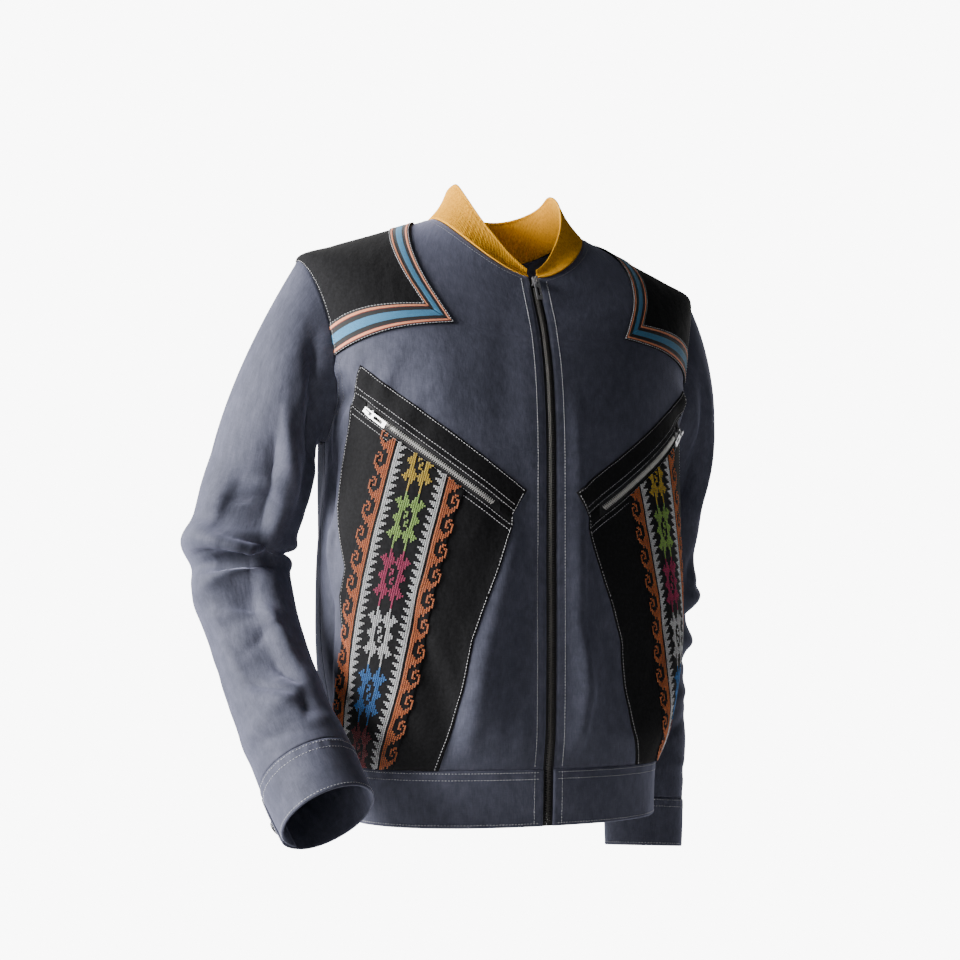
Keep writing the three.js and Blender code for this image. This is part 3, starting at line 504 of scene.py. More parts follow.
def panel_shell(name, panel, thickness, front_edge=False):
    thin = np.ones(panel.round.shape)
    if front_edge:
        thin = fold_edge(panel.round - ZIP_OPENING, 2.0)
    spine = panel.point[:, panel.point.shape[1] // 2]
    up = run_length(spine)
    centre = 0 if front_edge else panel.round[:, -1:] / 2
    uv = np.stack(np.broadcast_arrays(panel.round - centre, up[:, None]), -1)
    return shell(name, *wall(panel.point, panel.out, thickness, thin), uv)


# ---- layers laid on a panel -----------------------------------------------------------------
LEVEL_MM = 100              # a level counts as this many millimetres up the panel
FOLD_RADIUS = 1.1


def area_of(outline):
    after = np.roll(outline, -1, 0)
    return (outline[:, 0] * after[:, 1] - after[:, 0] * outline[:, 1]).sum() / 2


def split(polygon, a, b):
    """The parts of a polygon to the left and to the right of the line from a to b."""
    sides = [(b[0] - a[0]) * (p[1] - a[1]) - (b[1] - a[1]) * (p[0] - a[0]) for p in polygon]
    left, right = [], []
    for k, here in enumerate(polygon):
        n = (k + 1) % len(polygon)
        if sides[k] >= 0:
            left.append(here)
        if sides[k] <= 0:
            right.append(here)
        if sides[k] * sides[n] < 0:
            crossing = lerp(here, polygon[n], sides[k] / (sides[k] - sides[n]))
            left.append(crossing)
            right.append(crossing)
    return left if len(left) > 2 else [], right if len(right) > 2 else []


def inset(outline, border, depth):
    """A convex outline's corners moved in from the borders that meet there."""
    moved = []
    for k, corner in enumerate(outline):
        back = unit(outline[k - 1] - corner)
        ahead = unit(outline[(k + 1) % len(outline)] - corner)
        sine = abs(back[0] * ahead[1] - back[1] * ahead[0])
        way = back * border[k] + ahead * border[k - 1]
        moved.append(corner + way * depth / sine)
    return moved


def distance_to(places, a, b):
    t = np.clip(((places - a) @ (b - a)) / ((b - a) @ (b - a)), 0, 1)
    return np.linalg.norm(places - a - t[:, None] * (b - a), axis=1)


def layer(name, panel, outlines, lift, thickness, by_level=False):
    """Cloth on a panel, cut to convex outlines of [round, height] or [round, level]."""
    scale = LEVEL_MM if by_level else 1
    value = panel.levels[:, None] * np.ones_like(panel.round) if by_level else panel.point[..., 2]
    data = np.concatenate([
        panel.round[..., None], value[..., None] * scale, panel.point, panel.out,
        panel.round[..., None], panel.point[..., 2:3]], -1).reshape(-1, 10)
    rows, columns = panel.round.shape
    r, c = np.meshgrid(np.arange(rows - 1), np.arange(columns - 1), indexing="ij")
    quads = np.stack([r * columns + c, r * columns + c + 1, (r + 1) * columns + c + 1,
                      (r + 1) * columns + c], -1).reshape(-1, 4)
    known, cells, faces, borders = {}, [], [], []

    def number(cell):
        key = (round(cell[0], 3), round(cell[1], 3))
        if key not in known:
            known[key] = len(cells)
            cells.append(cell)
        return known[key]

    outlines = [np.array(outline, float) * [1, scale] for outline in outlines]
    outlines = [outline[::-1] if area_of(outline) < 0 else outline for outline in outlines]
    shared = {(tuple(b), tuple(a)) for o in outlines for a, b in zip(o, np.roll(o, -1, 0))}
    for outline in outlines:
        edges = list(zip(outline, np.roll(outline, -1, 0)))
        border = [float((tuple(a), tuple(b)) not in shared) for a, b in edges]
        inner = inset(outline, border, FOLD_RADIUS)
        lines = [(inner[k], inner[(k + 1) % len(inner)]) for k in range(len(inner)) if border[k]]
        borders += [edge for edge, bare in zip(edges, border) if bare]
        side = np.stack([(b[0] - a[0]) * (data[:, 1] - a[1]) - (b[1] - a[1]) * (data[:, 0] - a[0])
                         for a, b in edges + lines])
        held = side[:len(edges), quads] >= 0
        near = held.any(-1).all(0)
        whole = (side[:, quads] >= 0).all(-1).all(0)
        for quad in quads[near & whole]:
            faces.append([number(data[k]) for k in quad])
        for quad in quads[near & ~whole]:
            polygon = [data[k] for k in quad]
            for a, b in edges:
                polygon = split(polygon, a, b)[0] if polygon else []
            parts = [polygon] if polygon else []
            for a, b in lines:
                parts = [half for part in parts for half in split(part, a, b) if half]
            for part in parts:
                ids = [number(cell) for cell in part]
                ids = [k for n, k in enumerate(ids) if k != ids[(n + 1) % len(ids)]]
                if len(ids) > 2:
                    faces.append(ids)
    cells = np.array(cells)
    count = len(cells)
    links = dict.fromkeys(link for ids in faces for link in zip(ids, ids[1:] + ids[:1]))
    rim = [(a, b) for a, b in links if (b, a) not in links]
    point, out = cells[:, 2:5], unit(cells[:, 5:8])
    away = np.min([distance_to(cells[:, :2], a, b) for a, b in borders], axis=0)
    top = lift + thickness * fold_edge(away, FOLD_RADIUS)
    points = np.concatenate([
        point + out * (TWILL + top)[:, None], point + out * (TWILL + lift)])
    all_faces = faces + [[k + count for k in ids[::-1]] for ids in faces]
    all_faces += [[b, a, a + count, b + count] for a, b in rim]
    corners = np.concatenate([np.array(ids) for ids in all_faces]) % count
    smooth = np.arange(len(all_faces)) < 2 * len(faces)
    piece = make_piece(name, points, all_faces, cells[corners, 8:10], smooth)
    if panel.angles[0, 0] < 0:
        piece.data.flip_normals()
    return piece


# ---- thread ---------------------------------------------------------------------------------
def bars(start, end, out, wide, high):
    """Small rounded bars of thread from start to end, lying on a surface with these normals."""
    start, end, out = (np.asarray(v, float).reshape(-1, 3) for v in (start, end, out))
    along = end - start
    across = unit(np.cross(out, along)) * (wide / 2)
    low, high_at, flat = start + along * 0.22, start + along * 0.78, out * high
    ring = [start, low - across, low + flat, low + across,
            high_at - across, high_at + flat, high_at + across, end]
    points = np.stack(ring, 1)
    faces = [[1, 4, 5, 2], [2, 5, 6, 3], [3, 6, 4, 1],
             [0, 1, 2, 2], [0, 2, 3, 3], [0, 3, 1, 1], [7, 5, 4, 4], [7, 6, 5, 5], [7, 4, 6, 6]]
    faces = np.array(faces)[None] + len(ring) * np.arange(len(points))[:, None, None]
    return points.reshape(-1, 3), faces.reshape(-1, 4)


def thread_piece(name, batches):
    points, faces, offset = [], [], 0
    for p, f in batches:
        points.append(p)
        faces.append(f + offset)
        offset += len(p)
    points, faces = np.concatenate(points), np.concatenate(faces)
    lists = [ids[:3] if ids[2] == ids[3] else ids for ids in faces.tolist()]
    return make_piece(name, points, lists)


def resample(points, outs, pitch, share, start=0.0):
    """Starts, ends and outward directions of even stitches along a path."""
    lengths = run_length(points)
    count = int((lengths[-1] - start) / pitch)
    begin = start + pitch * np.arange(count)

    def at(s, values):
        return np.stack([np.interp(s, lengths, values[:, k]) for k in range(3)], -1)

    return at(begin, points), at(begin + pitch * share, points), unit(at(begin + pitch / 2, outs))


STITCH = {"pitch": 3.1, "share": 0.78, "wide": 0.62, "high": 0.4}


def topstitch(points, outs, lift):
    """Topstitching along a path on a face's inner points, at this height above them."""
    start, end, out = resample(points, outs, STITCH["pitch"], STITCH["share"])
    return bars(start + out * lift, end + out * lift, out, STITCH["wide"], STITCH["high"])


def line_on(panel, corners, lift, by_level=False, step=2.0):
    """Topstitching along straight lines on the cloth between these corners."""
    batches = []
    for a, b in zip(corners, corners[1:]):
        a, b = np.array(a, float), np.array(b, float)
        if by_level:
            ends = panel.at_level(np.array([a[0], b[0]]), np.array([a[1], b[1]]))[0]
            length = np.linalg.norm(ends[1] - ends[0])
        else:
            length = np.linalg.norm(b - a)
        t = np.linspace(0, 1, max(3, int(length / step)))
        places = a + (b - a) * t[:, None]
        inside = places[:, 0] <= np.interp(
            places[:, 1] if by_level else panel.level_of(places[:, 0], places[:, 1]),
            panel.levels, panel.round[:, -1])
        places = places[inside]
        if len(places) < 3:
            continue
        find = panel.at_level if by_level else panel.at_height
        point, out = find(places[:, 0], places[:, 1])
        batches.append(topstitch(point, out, TWILL + lift))
    return batches


# ---- materials ------------------------------------------------------------------------------
class Nodes:
    """Short names for building a material's nodes."""

    def __init__(self, name):
        self.material = bpy.data.materials.new(name)
        self.material.use_nodes = True
        self.tree = self.material.node_tree
        self.shader = self.tree.nodes["Principled BSDF"]

    def node(self, kind, **inputs):
        made = self.tree.nodes.new(kind)
        for key, value in inputs.items():
            socket = made.inputs[int(key[1:])] if key[0] == "_" else made.inputs[key.replace("_", " ")]
            self.set(socket, value)
        return made

    def set(self, socket, value):
        if isinstance(value, bpy.types.NodeSocket):
            self.tree.links.new(value, socket)
        else:
            socket.default_value = value

    def shade(self, **inputs):
        for key, value in inputs.items():
            self.set(self.shader.inputs[key.replace("_", " ")], value)

    def cloth_place(self, across=1.0, along=1.0):
        """Place on the cloth in millimetres, stretched."""
        uv = self.node("ShaderNodeUVMap").outputs[0]
        scale = self.node("ShaderNodeVectorMath", _0=uv, _1=(1000 * across, 1000 * along, 1))
        scale.operation = "MULTIPLY"
        return scale.outputs[0]

    def object_place(self, per_metre):
        where = self.node("ShaderNodeTexCoord").outputs["Object"]
        scale = self.node("ShaderNodeVectorMath", _0=where, _1=(per_metre,) * 3)
        scale.operation = "MULTIPLY"
        return scale.outputs[0]

    def noise(self, place, scale, detail=3.0, rough=0.55):
        return self.node("ShaderNodeTexNoise", Vector=place, Scale=scale, Detail=detail,
                         Roughness=rough).outputs[0]

    def math(self, operation, a, b=0.0, c=0.0):
        made = self.node("ShaderNodeMath", _0=a, _1=b, _2=c)
        made.operation = operation
        return made.outputs[0]

    def ramp(self, factor, stops, interpolation="LINEAR"):
        made = self.node("ShaderNodeValToRGB", _0=factor)
        ramp = made.color_ramp
        ramp.interpolation = interpolation
        while len(ramp.elements) < len(stops):
            ramp.elements.new(1.0)
        for element, (at, colour) in zip(ramp.elements, stops):
            element.position = at
            element.color = (*colour, 1)
        return made.outputs[0]

    def bump(self, height, strength, distance, under=None):
        made = self.node("ShaderNodeBump", Height=height, Strength=strength, Distance=distance)
        if under is not None:
            self.set(made.inputs["Normal"], under)
        return made.outputs[0]

    def twill(self, pitch):
        """Diagonal ribs of a twill weave."""
        place = self.node("ShaderNodeSeparateXYZ", Vector=self.cloth_place())
        slant = self.math("MULTIPLY_ADD", place.outputs[1], 0.7, place.outputs[0])
        return self.math("SINE", self.math("MULTIPLY", slant, 2 * math.pi / pitch))

    def weave(self, pitch):
        """A plain weave of two threads."""
        place = self.node("ShaderNodeSeparateXYZ", Vector=self.cloth_place())
        waves = [self.math("SINE", self.math("MULTIPLY", place.outputs[k], 2 * math.pi / pitch))
                 for k in (0, 1)]
        return self.math("MULTIPLY", *waves)


def slate_twill():
    n = Nodes("slate_twill_look")
    yarn = n.noise(n.cloth_place(1.0, 0.12), 1.0, 3, 0.6)
    weft = n.noise(n.cloth_place(0.15, 1.0), 0.9, 2, 0.6)
    mottle = n.noise(n.cloth_place(1.0, 0.6), 0.11, 4, 0.6)
    wash = n.noise(n.cloth_place(), 0.016, 3, 0.5)
    mixed = n.math("MULTIPLY_ADD", yarn, 0.24, n.math("MULTIPLY", weft, 0.14))
    mixed = n.math("MULTIPLY_ADD", mottle, 0.36, mixed)
    mixed = n.math("MULTIPLY_ADD", wash, 0.26, mixed)
    colour = n.ramp(mixed, [(0.34, (0.031, 0.034, 0.051)), (0.5, (0.053, 0.0565, 0.083)),
                            (0.66, (0.084, 0.087, 0.124))])
    bump = n.bump(n.twill(0.9), 0.2, 0.00012)
    bump = n.bump(n.noise(n.cloth_place(1.0, 0.5), 0.16, 4), 0.4, 0.0012, bump)
    n.shade(Base_Color=colour, Roughness=0.78, Normal=bump)
    n.shade(Specular_IOR_Level=0.28, Sheen_Weight=0.4, Sheen_Roughness=0.45)
    n.shade(Sheen_Tint=(0.58, 0.60, 0.86, 1))
    return n.material


def black_cotton():
    n = Nodes("black_cotton_look")
    mottle = n.noise(n.cloth_place(), 0.3, 4, 0.65)
    colour = n.ramp(mottle, [(0.3, (0.0035, 0.0035, 0.004)), (0.75, (0.010, 0.010, 0.0115))])
    bump = n.bump(n.weave(0.7), 0.2, 0.0001)
    bump = n.bump(n.noise(n.cloth_place(1.0, 0.7), 0.06, 5, 0.6), 0.55, 0.003, bump)
    n.shade(Base_Color=colour, Roughness=0.9, Normal=bump)
    n.shade(Specular_IOR_Level=0.16, Sheen_Weight=0.03, Sheen_Roughness=0.5)
    return n.material


def gold_rib():
    n = Nodes("gold_rib_look")
    fleck = n.noise(n.cloth_place(1, 0.4), 0.8, 4, 0.7)
    colour = n.ramp(fleck, [(0.28, (0.46, 0.18, 0.006)), (0.5, (0.78, 0.36, 0.012)),
                            (0.75, (0.95, 0.50, 0.03))])
    bump = n.bump(n.weave(1.1), 0.4, 0.0003)
    n.shade(Base_Color=colour, Roughness=0.85, Normal=bump)
    n.shade(Specular_IOR_Level=0.15, Sheen_Weight=0.12, Sheen_Roughness=0.5)
    n.shade(Sheen_Tint=(1.0, 0.72, 0.3, 1))
    return n.material


RIBBON_WIDTH = 30.0
RIBBON_STRIPES = [           # from the outer edge, in millimetres: where each stripe starts
    (0.0, (0.006, 0.006, 0.007)),
    (1.8, (0.20, 0.035, 0.030)),
    (2.5, (0.84, 0.30, 0.15)),
    (5.0, (0.22, 0.04, 0.03)),
    (5.6, (0.006, 0.006, 0.007)),
    (10.2, (0.050, 0.22, 0.40)),
    (19.0, (0.006, 0.006, 0.007)),
    (23.9, (0.20, 0.035, 0.030)),
    (24.5, (0.84, 0.30, 0.15)),
    (27.0, (0.006, 0.006, 0.007)),
]


def striped_ribbon():
    n = Nodes("striped_ribbon_look")
    place = n.node("ShaderNodeSeparateXYZ", Vector=n.cloth_place())
    wander = n.math("MULTIPLY_ADD", n.noise(n.cloth_place(), 0.25, 2), 0.5, -0.25)
    across = n.math("ADD", place.outputs[0], wander)
    stops = [(at / RIBBON_WIDTH, colour) for at, colour in RIBBON_STRIPES]
    colour = n.ramp(n.math("DIVIDE", across, RIBBON_WIDTH), stops, "CONSTANT")
    shade = n.ramp(n.noise(n.cloth_place(0.3, 1.0), 1.2, 3), [(0.25, (0.62,) * 3), (0.75, (1.15,) * 3)])
    mix = n.node("ShaderNodeMix", _0=1.0, _6=colour, _7=shade)
    mix.data_type = "RGBA"
    mix.blend_type = "MULTIPLY"
    picks = n.math("SINE", n.math("MULTIPLY", place.outputs[1], 2 * math.pi / 1.0))
    n.shade(Base_Color=mix.outputs[2], Roughness=0.68, Normal=n.bump(picks, 0.5, 0.0002))
    n.shade(Specular_IOR_Level=0.35, Sheen_Weight=0.15)
    return n.material


def thread(name, colour, rough=0.6):
    n = Nodes(name)
    fleck = n.noise(n.object_place(1000), 0.5, 2)
    darker = tuple(c * 0.62 for c in colour)
    n.shade(Base_Color=n.ramp(fleck, [(0.3, darker), (0.62, colour)]), Roughness=rough)
    n.shade(Specular_IOR_Level=0.4, Sheen_Weight=0.2)
    return n.material


def zip_tape():
    n = Nodes("zip_tape_look")
    mottle = n.noise(n.cloth_place(), 0.8, 2)
    colour = n.ramp(mottle, [(0.3, (0.005, 0.005, 0.006)), (0.7, (0.014, 0.014, 0.016))])
    n.shade(Base_Color=colour, Roughness=0.75, Normal=n.bump(n.weave(0.8), 0.5, 0.0002))
    return n.material


def metal(name, colour, rough, share=1.0):
    n = Nodes(name)
    wear = n.noise(n.object_place(1000), 0.6, 4, 0.6)
    lighter = tuple(min(c * 1.35, 1) for c in colour)
    n.shade(Base_Color=n.ramp(wear, [(0.35, colour), (0.7, lighter)]), Metallic=share)
    n.shade(Roughness=n.math("MULTIPLY_ADD", wear, 0.25, rough))
    n.shade(Normal=n.bump(wear, 0.15, 0.0001))
    return n.material


def button_black():
    n = Nodes("button_look")
    swirl = n.noise(n.object_place(1000), 0.25, 3)
    colour = n.ramp(swirl, [(0.3, (0.006, 0.007, 0.009)), (0.7, (0.030, 0.032, 0.038))])
    n.shade(Base_Color=colour, Roughness=0.3)
    return n.material


def pale_floor():
    n = Nodes("floor_look")
    tone = n.noise(n.object_place(1), 2.0, 3)
    n.shade(Base_Color=n.ramp(tone, [(0.2, (0.78,) * 3), (0.8, (0.82,) * 3)]), Roughness=0.9)
    return n.material


LOOKS = {
    "slate_twill": slate_twill(),
    "black_cotton": black_cotton(),
    "gold_rib": gold_rib(),
    "ribbon": striped_ribbon(),
    "zip_tape": zip_tape(),
    "zip_teeth": metal("gunmetal_look", (0.12, 0.115, 0.11), 0.28, 0.7),
    "pocket_teeth": metal("nickel_teeth_look", (0.62, 0.61, 0.59), 0.25, 0.4),
    "silver_metal": metal("silver_look", (0.50, 0.50, 0.51), 0.24),
    "button": button_black(),
    "topstitch": thread("topstitch_look", (0.66, 0.66, 0.68)),
    "quiet_stitch": thread("quiet_stitch_look", (0.17, 0.175, 0.20)),
}
THREADS = {
    "orange": thread("orange_thread", (0.72, 0.19, 0.05)),
    "white": thread("white_thread", (0.82, 0.82, 0.84)),
    "yellow": thread("yellow_thread", (0.76, 0.52, 0.05)),
    "lime": thread("lime_thread", (0.38, 0.62, 0.14)),
    "magenta": thread("magenta_thread", (0.52, 0.025, 0.13)),
    "blue": thread("blue_thread", (0.035, 0.22, 0.60)),
    "dark_red": thread("dark_red_thread", (0.24, 0.03, 0.04)),
}


def finish_piece(piece, slot, nodes=(), look=None, bodied="jacket"):
    """Gives a new piece its look and the body it rides on, and hides the frame's nodes it stands for.
    """
    piece.data.materials.clear()
    piece.data.materials.append(look or LOOKS[slot])
    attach(piece, bodied)
    if nodes:
        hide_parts(*nodes)
    return piece


def sew(name, batches, look=LOOKS["topstitch"]):
    """A piece of thread from batches of bars."""
    return finish_piece(thread_piece(name, batches), "stitching", look=look)


# ---- camera, light and floor ----------------------------------------------------------------
CAMERA = {"azimuth": -22, "distance": 1450, "z": -459, "lateral": -23.5, "pitch": 7.2, "lens": 51}


def add_camera():
    turn, pitch = math.radians(CAMERA["azimuth"]), math.radians(CAMERA["pitch"])
    ahead = np.array([-math.sin(turn), math.cos(turn), 0])
    right = np.array([math.cos(turn), math.sin(turn), 0])
    place = -CAMERA["distance"] * ahead + CAMERA["lateral"] * right + np.array([0, 0, CAMERA["z"]])
    look = ahead * math.cos(pitch) + np.array([0, 0, math.sin(pitch)])
    up = np.cross(right, look)
    data = bpy.data.cameras.new("camera")
    data.lens = CAMERA["lens"]
    data.sensor_width = 36
    camera = bpy.data.objects.new("camera", data)
    bpy.context.scene.collection.objects.link(camera)
    basis = Matrix([right, up, -look]).transposed().to_4x4()
    camera.matrix_world = Matrix.Translation(Vector(place * MM)) @ basis
    bpy.context.scene.camera = camera


LIT_POINT = (0, 0, -0.3)     # in metres, as are the lights' places and sizes
LIGHTS = [
    # name, place, size, power in watts, colour
    ["key", (-2.0, 0.05, 0.30), 1.0, 182, (1.0, 0.99, 0.98)],
    ["front_fill", (-0.9, -2.3, 0.4), 1.6, 5, (1, 1, 1)],
    ["back_fill", (-0.4, 2.3, 0.7), 1.8, 24, (1, 1, 1)],
    ["far_fill", (2.1, 1.1, 0.3), 1.4, 14, (1, 1, 1)],
]


def add_area(name, place, size, power, colour):
    data = bpy.data.lights.new(name, "AREA")
    data.size = size
    data.energy = power
    data.color = colour
    light = bpy.data.objects.new(name, data)
    bpy.context.scene.collection.objects.link(light)
    direction = Vector(LIT_POINT) - Vector(place)
    turn = direction.to_track_quat("-Z", "Y").to_matrix().to_4x4()
    light.matrix_world = Matrix.Translation(Vector(place)) @ turn


FLOOR = {"z": -1.45, "radius": 2.4, "sides": 96}
AMBIENT = 0.062              # what lights the jacket; the background itself is far brighter
BACKGROUND = 9.0


def add_studio():
    for light in LIGHTS:
        add_area(*light)
    world = bpy.data.worlds.new("studio")
    world.use_nodes = True
    tree = world.node_tree
    ambient = tree.nodes["Background"]
    ambient.inputs[0].default_value = (0.96, 0.98, 1, 1)
    ambient.inputs[1].default_value = AMBIENT
    white = tree.nodes.new("ShaderNodeBackground")
    white.inputs[0].default_value = (1, 1, 1, 1)
    white.inputs[1].default_value = BACKGROUND
    seen = tree.nodes.new("ShaderNodeLightPath").outputs["Is Camera Ray"]
    mix = tree.nodes.new("ShaderNodeMixShader")
    for socket, source in zip(mix.inputs, (seen, ambient.outputs[0], white.outputs[0])):
        tree.links.new(source, socket)
    tree.links.new(mix.outputs[0], tree.nodes["World Output"].inputs["Surface"])
    bpy.context.scene.world = world
    turns = [2 * math.pi * k / FLOOR["sides"] for k in range(FLOOR["sides"])]
    ring = [(FLOOR["radius"] * math.cos(a), FLOOR["radius"] * math.sin(a), FLOOR["z"]) for a in turns]
    mesh = bpy.data.meshes.new("floor")
    mesh.from_pydata(ring, [], [list(range(len(ring)))])
    mesh.materials.append(pale_floor())
    floor = bpy.data.objects.new("floor", mesh)
    bpy.context.scene.collection.objects.link(floor)


# ---- fronts, back and what lies on them -----------------------------------------------------
PATCH_CORNER = [98, 1.94]
PATCH_INNER_CORNER = [129, 2.03]
SHOULDER_OUTER = [182, 3.05]
SHOULDER_INNER = [212, 2.95]
ARMHOLE_OUTER = [270, 1.29]
ARMHOLE_INNER = [270, 1.48]
PATCH = [[PATCH_CORNER, SHOULDER_OUTER, [400, 3.3], ARMHOLE_OUTER]]
POCKET_TOP = ([206, -203.5], [40, -325])
POCKET_SLOT = 12
POCKET_YOKE = [[[197, -178], [26, -302], POCKET_TOP[1], POCKET_TOP[0]]]
POCKET_TEETH = (60, 176)
POCKET_TAPE = (41, 206.5)
POCKET_SLOT_ENDS = (56, 189)
TAPE_TUCK = 2.5             # how far the tape goes in under the cloth on both sides
TAPE_DEEP = 0.04
SIDE_ROWS = [
    [-337.3, 41, 222],
    [-377, 56, 214],
    [-404, 67, 221],
    [-450, 84, 219],
    [-499, 93, 231],
    [-590, 112, 242],
]
BAND_HALF = 45
BAND_MIDDLE = [
    [-328, 144],
    [-393, 163],
    [-455, 176],
    [-510, 187],
    [-590, 202],
]


def bands(rows):
    return [[[a[1], a[0]], [b[1], b[0]], [b[2], b[0]], [a[2], a[0]]] for a, b in zip(rows, rows[1:])]


SIDE_PANEL = [[[207, -215.8], [41, -337.3], [222, -337.3], [224, -317], [219, -280]], *bands(SIDE_ROWS)]
STITCHED_BAND = [
    [[163, -250], [88.5, -304.6], [99, -328], [189, -328]],
    *bands([[z, middle - BAND_HALF, middle + BAND_HALF] for z, middle in BAND_MIDDLE]),
]


def strip_on(panel, outer, inner, thickness, lift, across_steps, along_step, relief=None):
    """A ribbon between two lines of [round, level], trimmed where it meets the panel's edge."""
    outer, inner = np.array(outer, float), np.array(inner, float)
    share = np.linspace(0, 1, across_steps)
    begin = outer[0] + (inner[0] - outer[0]) * share[:, None]
    end = outer[1] + (inner[1] - outer[1]) * share[:, None]
    low, high = np.zeros(across_steps), np.ones(across_steps)
    for _ in range(24):
        middle = (low + high) / 2
        place = begin + (end - begin) * middle[:, None]
        beyond = (place[:, 0] > panel.reach(place[:, 1])) | (place[:, 1] > 3)
        low, high = np.where(beyond, low, middle), np.where(beyond, middle, high)
    length = np.linalg.norm(panel.at_level(*(begin[0] + (end[0] - begin[0]) * low[0]))[0]
                            - panel.at_level(*begin[0])[0])
    t = np.linspace(0, 1, int(length / along_step))[:, None] * low[None]
    places = begin[None] + (end - begin)[None] * t[..., None]
    point, out = panel.at_level(places[..., 0], places[..., 1])
    rise = thickness * np.ones(across_steps) if relief is None else thickness * relief(share)
    top = point + out * (TWILL + lift + rise[None, :, None])
    bottom = point + out * (TWILL + lift)
    along = np.concatenate([np.zeros((1, across_steps)), np.cumsum(
        np.linalg.norm(np.diff(point, axis=0), axis=-1), axis=0)])
    uv = np.stack([np.broadcast_to(share * RIBBON_WIDTH, along.shape), along], -1)
    return top, bottom, uv, point, out


RIBBON_BODY = 0.72          # share of the wall between its raised stripes
RIBBON_RAISED = ((3.5, 1.5, 0.34), (14.1, 4.6, 0.16), (26.0, 1.6, 0.34))   # middle, half, rise


def ribbon_relief(share):
    """The ribbon's height across its width, as a share of its wall."""
    across = share * RIBBON_WIDTH
    height = np.full_like(share, RIBBON_BODY)
    for at, half, rise in RIBBON_RAISED:
        height += rise * np.exp(-(((across - at) / half) ** 4))
    edge = np.minimum(across, RIBBON_WIDTH - across)
    return height * fold_edge(edge, 1.2)


def add_ribbons(panel, word):
    batches = []
    for part, outer, inner in (
        ("shoulder", [PATCH_CORNER, SHOULDER_OUTER], [PATCH_INNER_CORNER, SHOULDER_INNER]),
        ("armhole", [PATCH_CORNER, ARMHOLE_OUTER], [PATCH_INNER_CORNER, ARMHOLE_INNER]),
    ):
        top, bottom, uv, point, out = strip_on(
            panel, outer, inner, RIBBON_WALL, ON_PATCH, 49, 3.0, ribbon_relief)
        piece = shell(f"ribbon_{part}_{word}", top, bottom, uv)
        finish_piece(piece, "ribbon", [f"shoulder_ribbon_{word}"] if part == "shoulder" else [])
        for column in (1, -2):
            batches.append(topstitch(point[:, column], out[:, column], TWILL + ON_PATCH + 0.62))
    return batches


def on_slot(round_it, down):
    t = (round_it - POCKET_TOP[0][0]) / (POCKET_TOP[1][0] - POCKET_TOP[0][0])
    return [round_it, lerp(POCKET_TOP[0][1], POCKET_TOP[1][1], t) - down]


TOOTH = {"pitch": 2.4, "wide": 1.1, "long": 3.5, "high": 1.9}
POCKET_TOOTH = {"pitch": 2.2, "wide": 0.85, "long": 3.6, "high": 1.3}


def teeth(points, outs, size, base):
    """Interlocked zip teeth along the middle of a chain."""
    start, end, out = resample(points, outs, size["pitch"] / 2, 0.5)
    heading = unit(end - start)
    across = np.cross(out, heading)
    sign = np.where(np.arange(len(start)) % 2 == 0, 1.0, -1.0)[:, None]
    middle = start + across * sign * (size["long"] * 0.24) + out * base
    half_w, half_l = size["wide"] / 2 * 0.82, size["long"] / 2
    corners = []
    for up, shrink in ((0.0, 1.0), (0.72, 1.0), (1.0, 0.72)):
        for a, b in ((-1, -1), (1, -1), (1, 1), (-1, 1)):
            corners.append(middle + heading * (a * half_w * shrink) + across * (b * half_l * shrink)
                           + out * (size["high"] * up))
    points = np.stack(corners, 1)
    faces = [[0, 3, 2, 1], [8, 9, 10, 11]]
    for low in (0, 4):
        for k in range(4):
            j = (k + 1) % 4
            faces.append([low + k, low + j, low + 4 + j, low + 4 + k])
    faces = np.array(faces)[None] + 12 * np.arange(len(points))[:, None, None]
    return points.reshape(-1, 3), faces.reshape(-1, 4)


def slot_piece(name, panel, low, high, top, bottom, lift, thickness):
    outline = [on_slot(high, top), on_slot(low, top), on_slot(low, bottom), on_slot(high, bottom)]
    return layer(name, panel, [outline], lift, thickness)


def add_pocket(panel, word):
    """The tape deep in its slot, the black cloth that closes the slot's ends, and the teeth."""
    (near, far), (low, high) = POCKET_TAPE, POCKET_SLOT_ENDS
    piece = slot_piece(f"pocket_tape_cloth_{word}", panel, near + 1, far - 1, -TAPE_TUCK,
                       POCKET_SLOT + TAPE_TUCK, TAPE_DEEP, GAP - 2 * TAPE_DEEP)
    finish_piece(piece, "zip_tape", [f"pocket_zip_tape_{word}"])
    for end, (a, b) in {"low": (near, low), "high": (high, far)}.items():
        piece = slot_piece(f"slot_end_{end}_{word}", panel, a, b, 0.05, POCKET_SLOT + 0.2,
                           GAP, PATCH_WALL)
        finish_piece(piece, "black_cotton")
    low, high = POCKET_TEETH
    rounds = np.linspace(high, low, 80)
    places = np.array([on_slot(r, POCKET_SLOT / 2) for r in rounds])
    point, out = panel.at_height(places[:, 0], places[:, 1])
    points, faces = teeth(point, out, POCKET_TOOTH, TWILL + GAP)
    piece = make_piece(f"pocket_teeth_{word}", points, faces, smooth=np.zeros(len(faces), bool))
    finish_piece(piece, "zip_teeth", [f"pocket_zip_teeth_{word}"], LOOKS["pocket_teeth"])


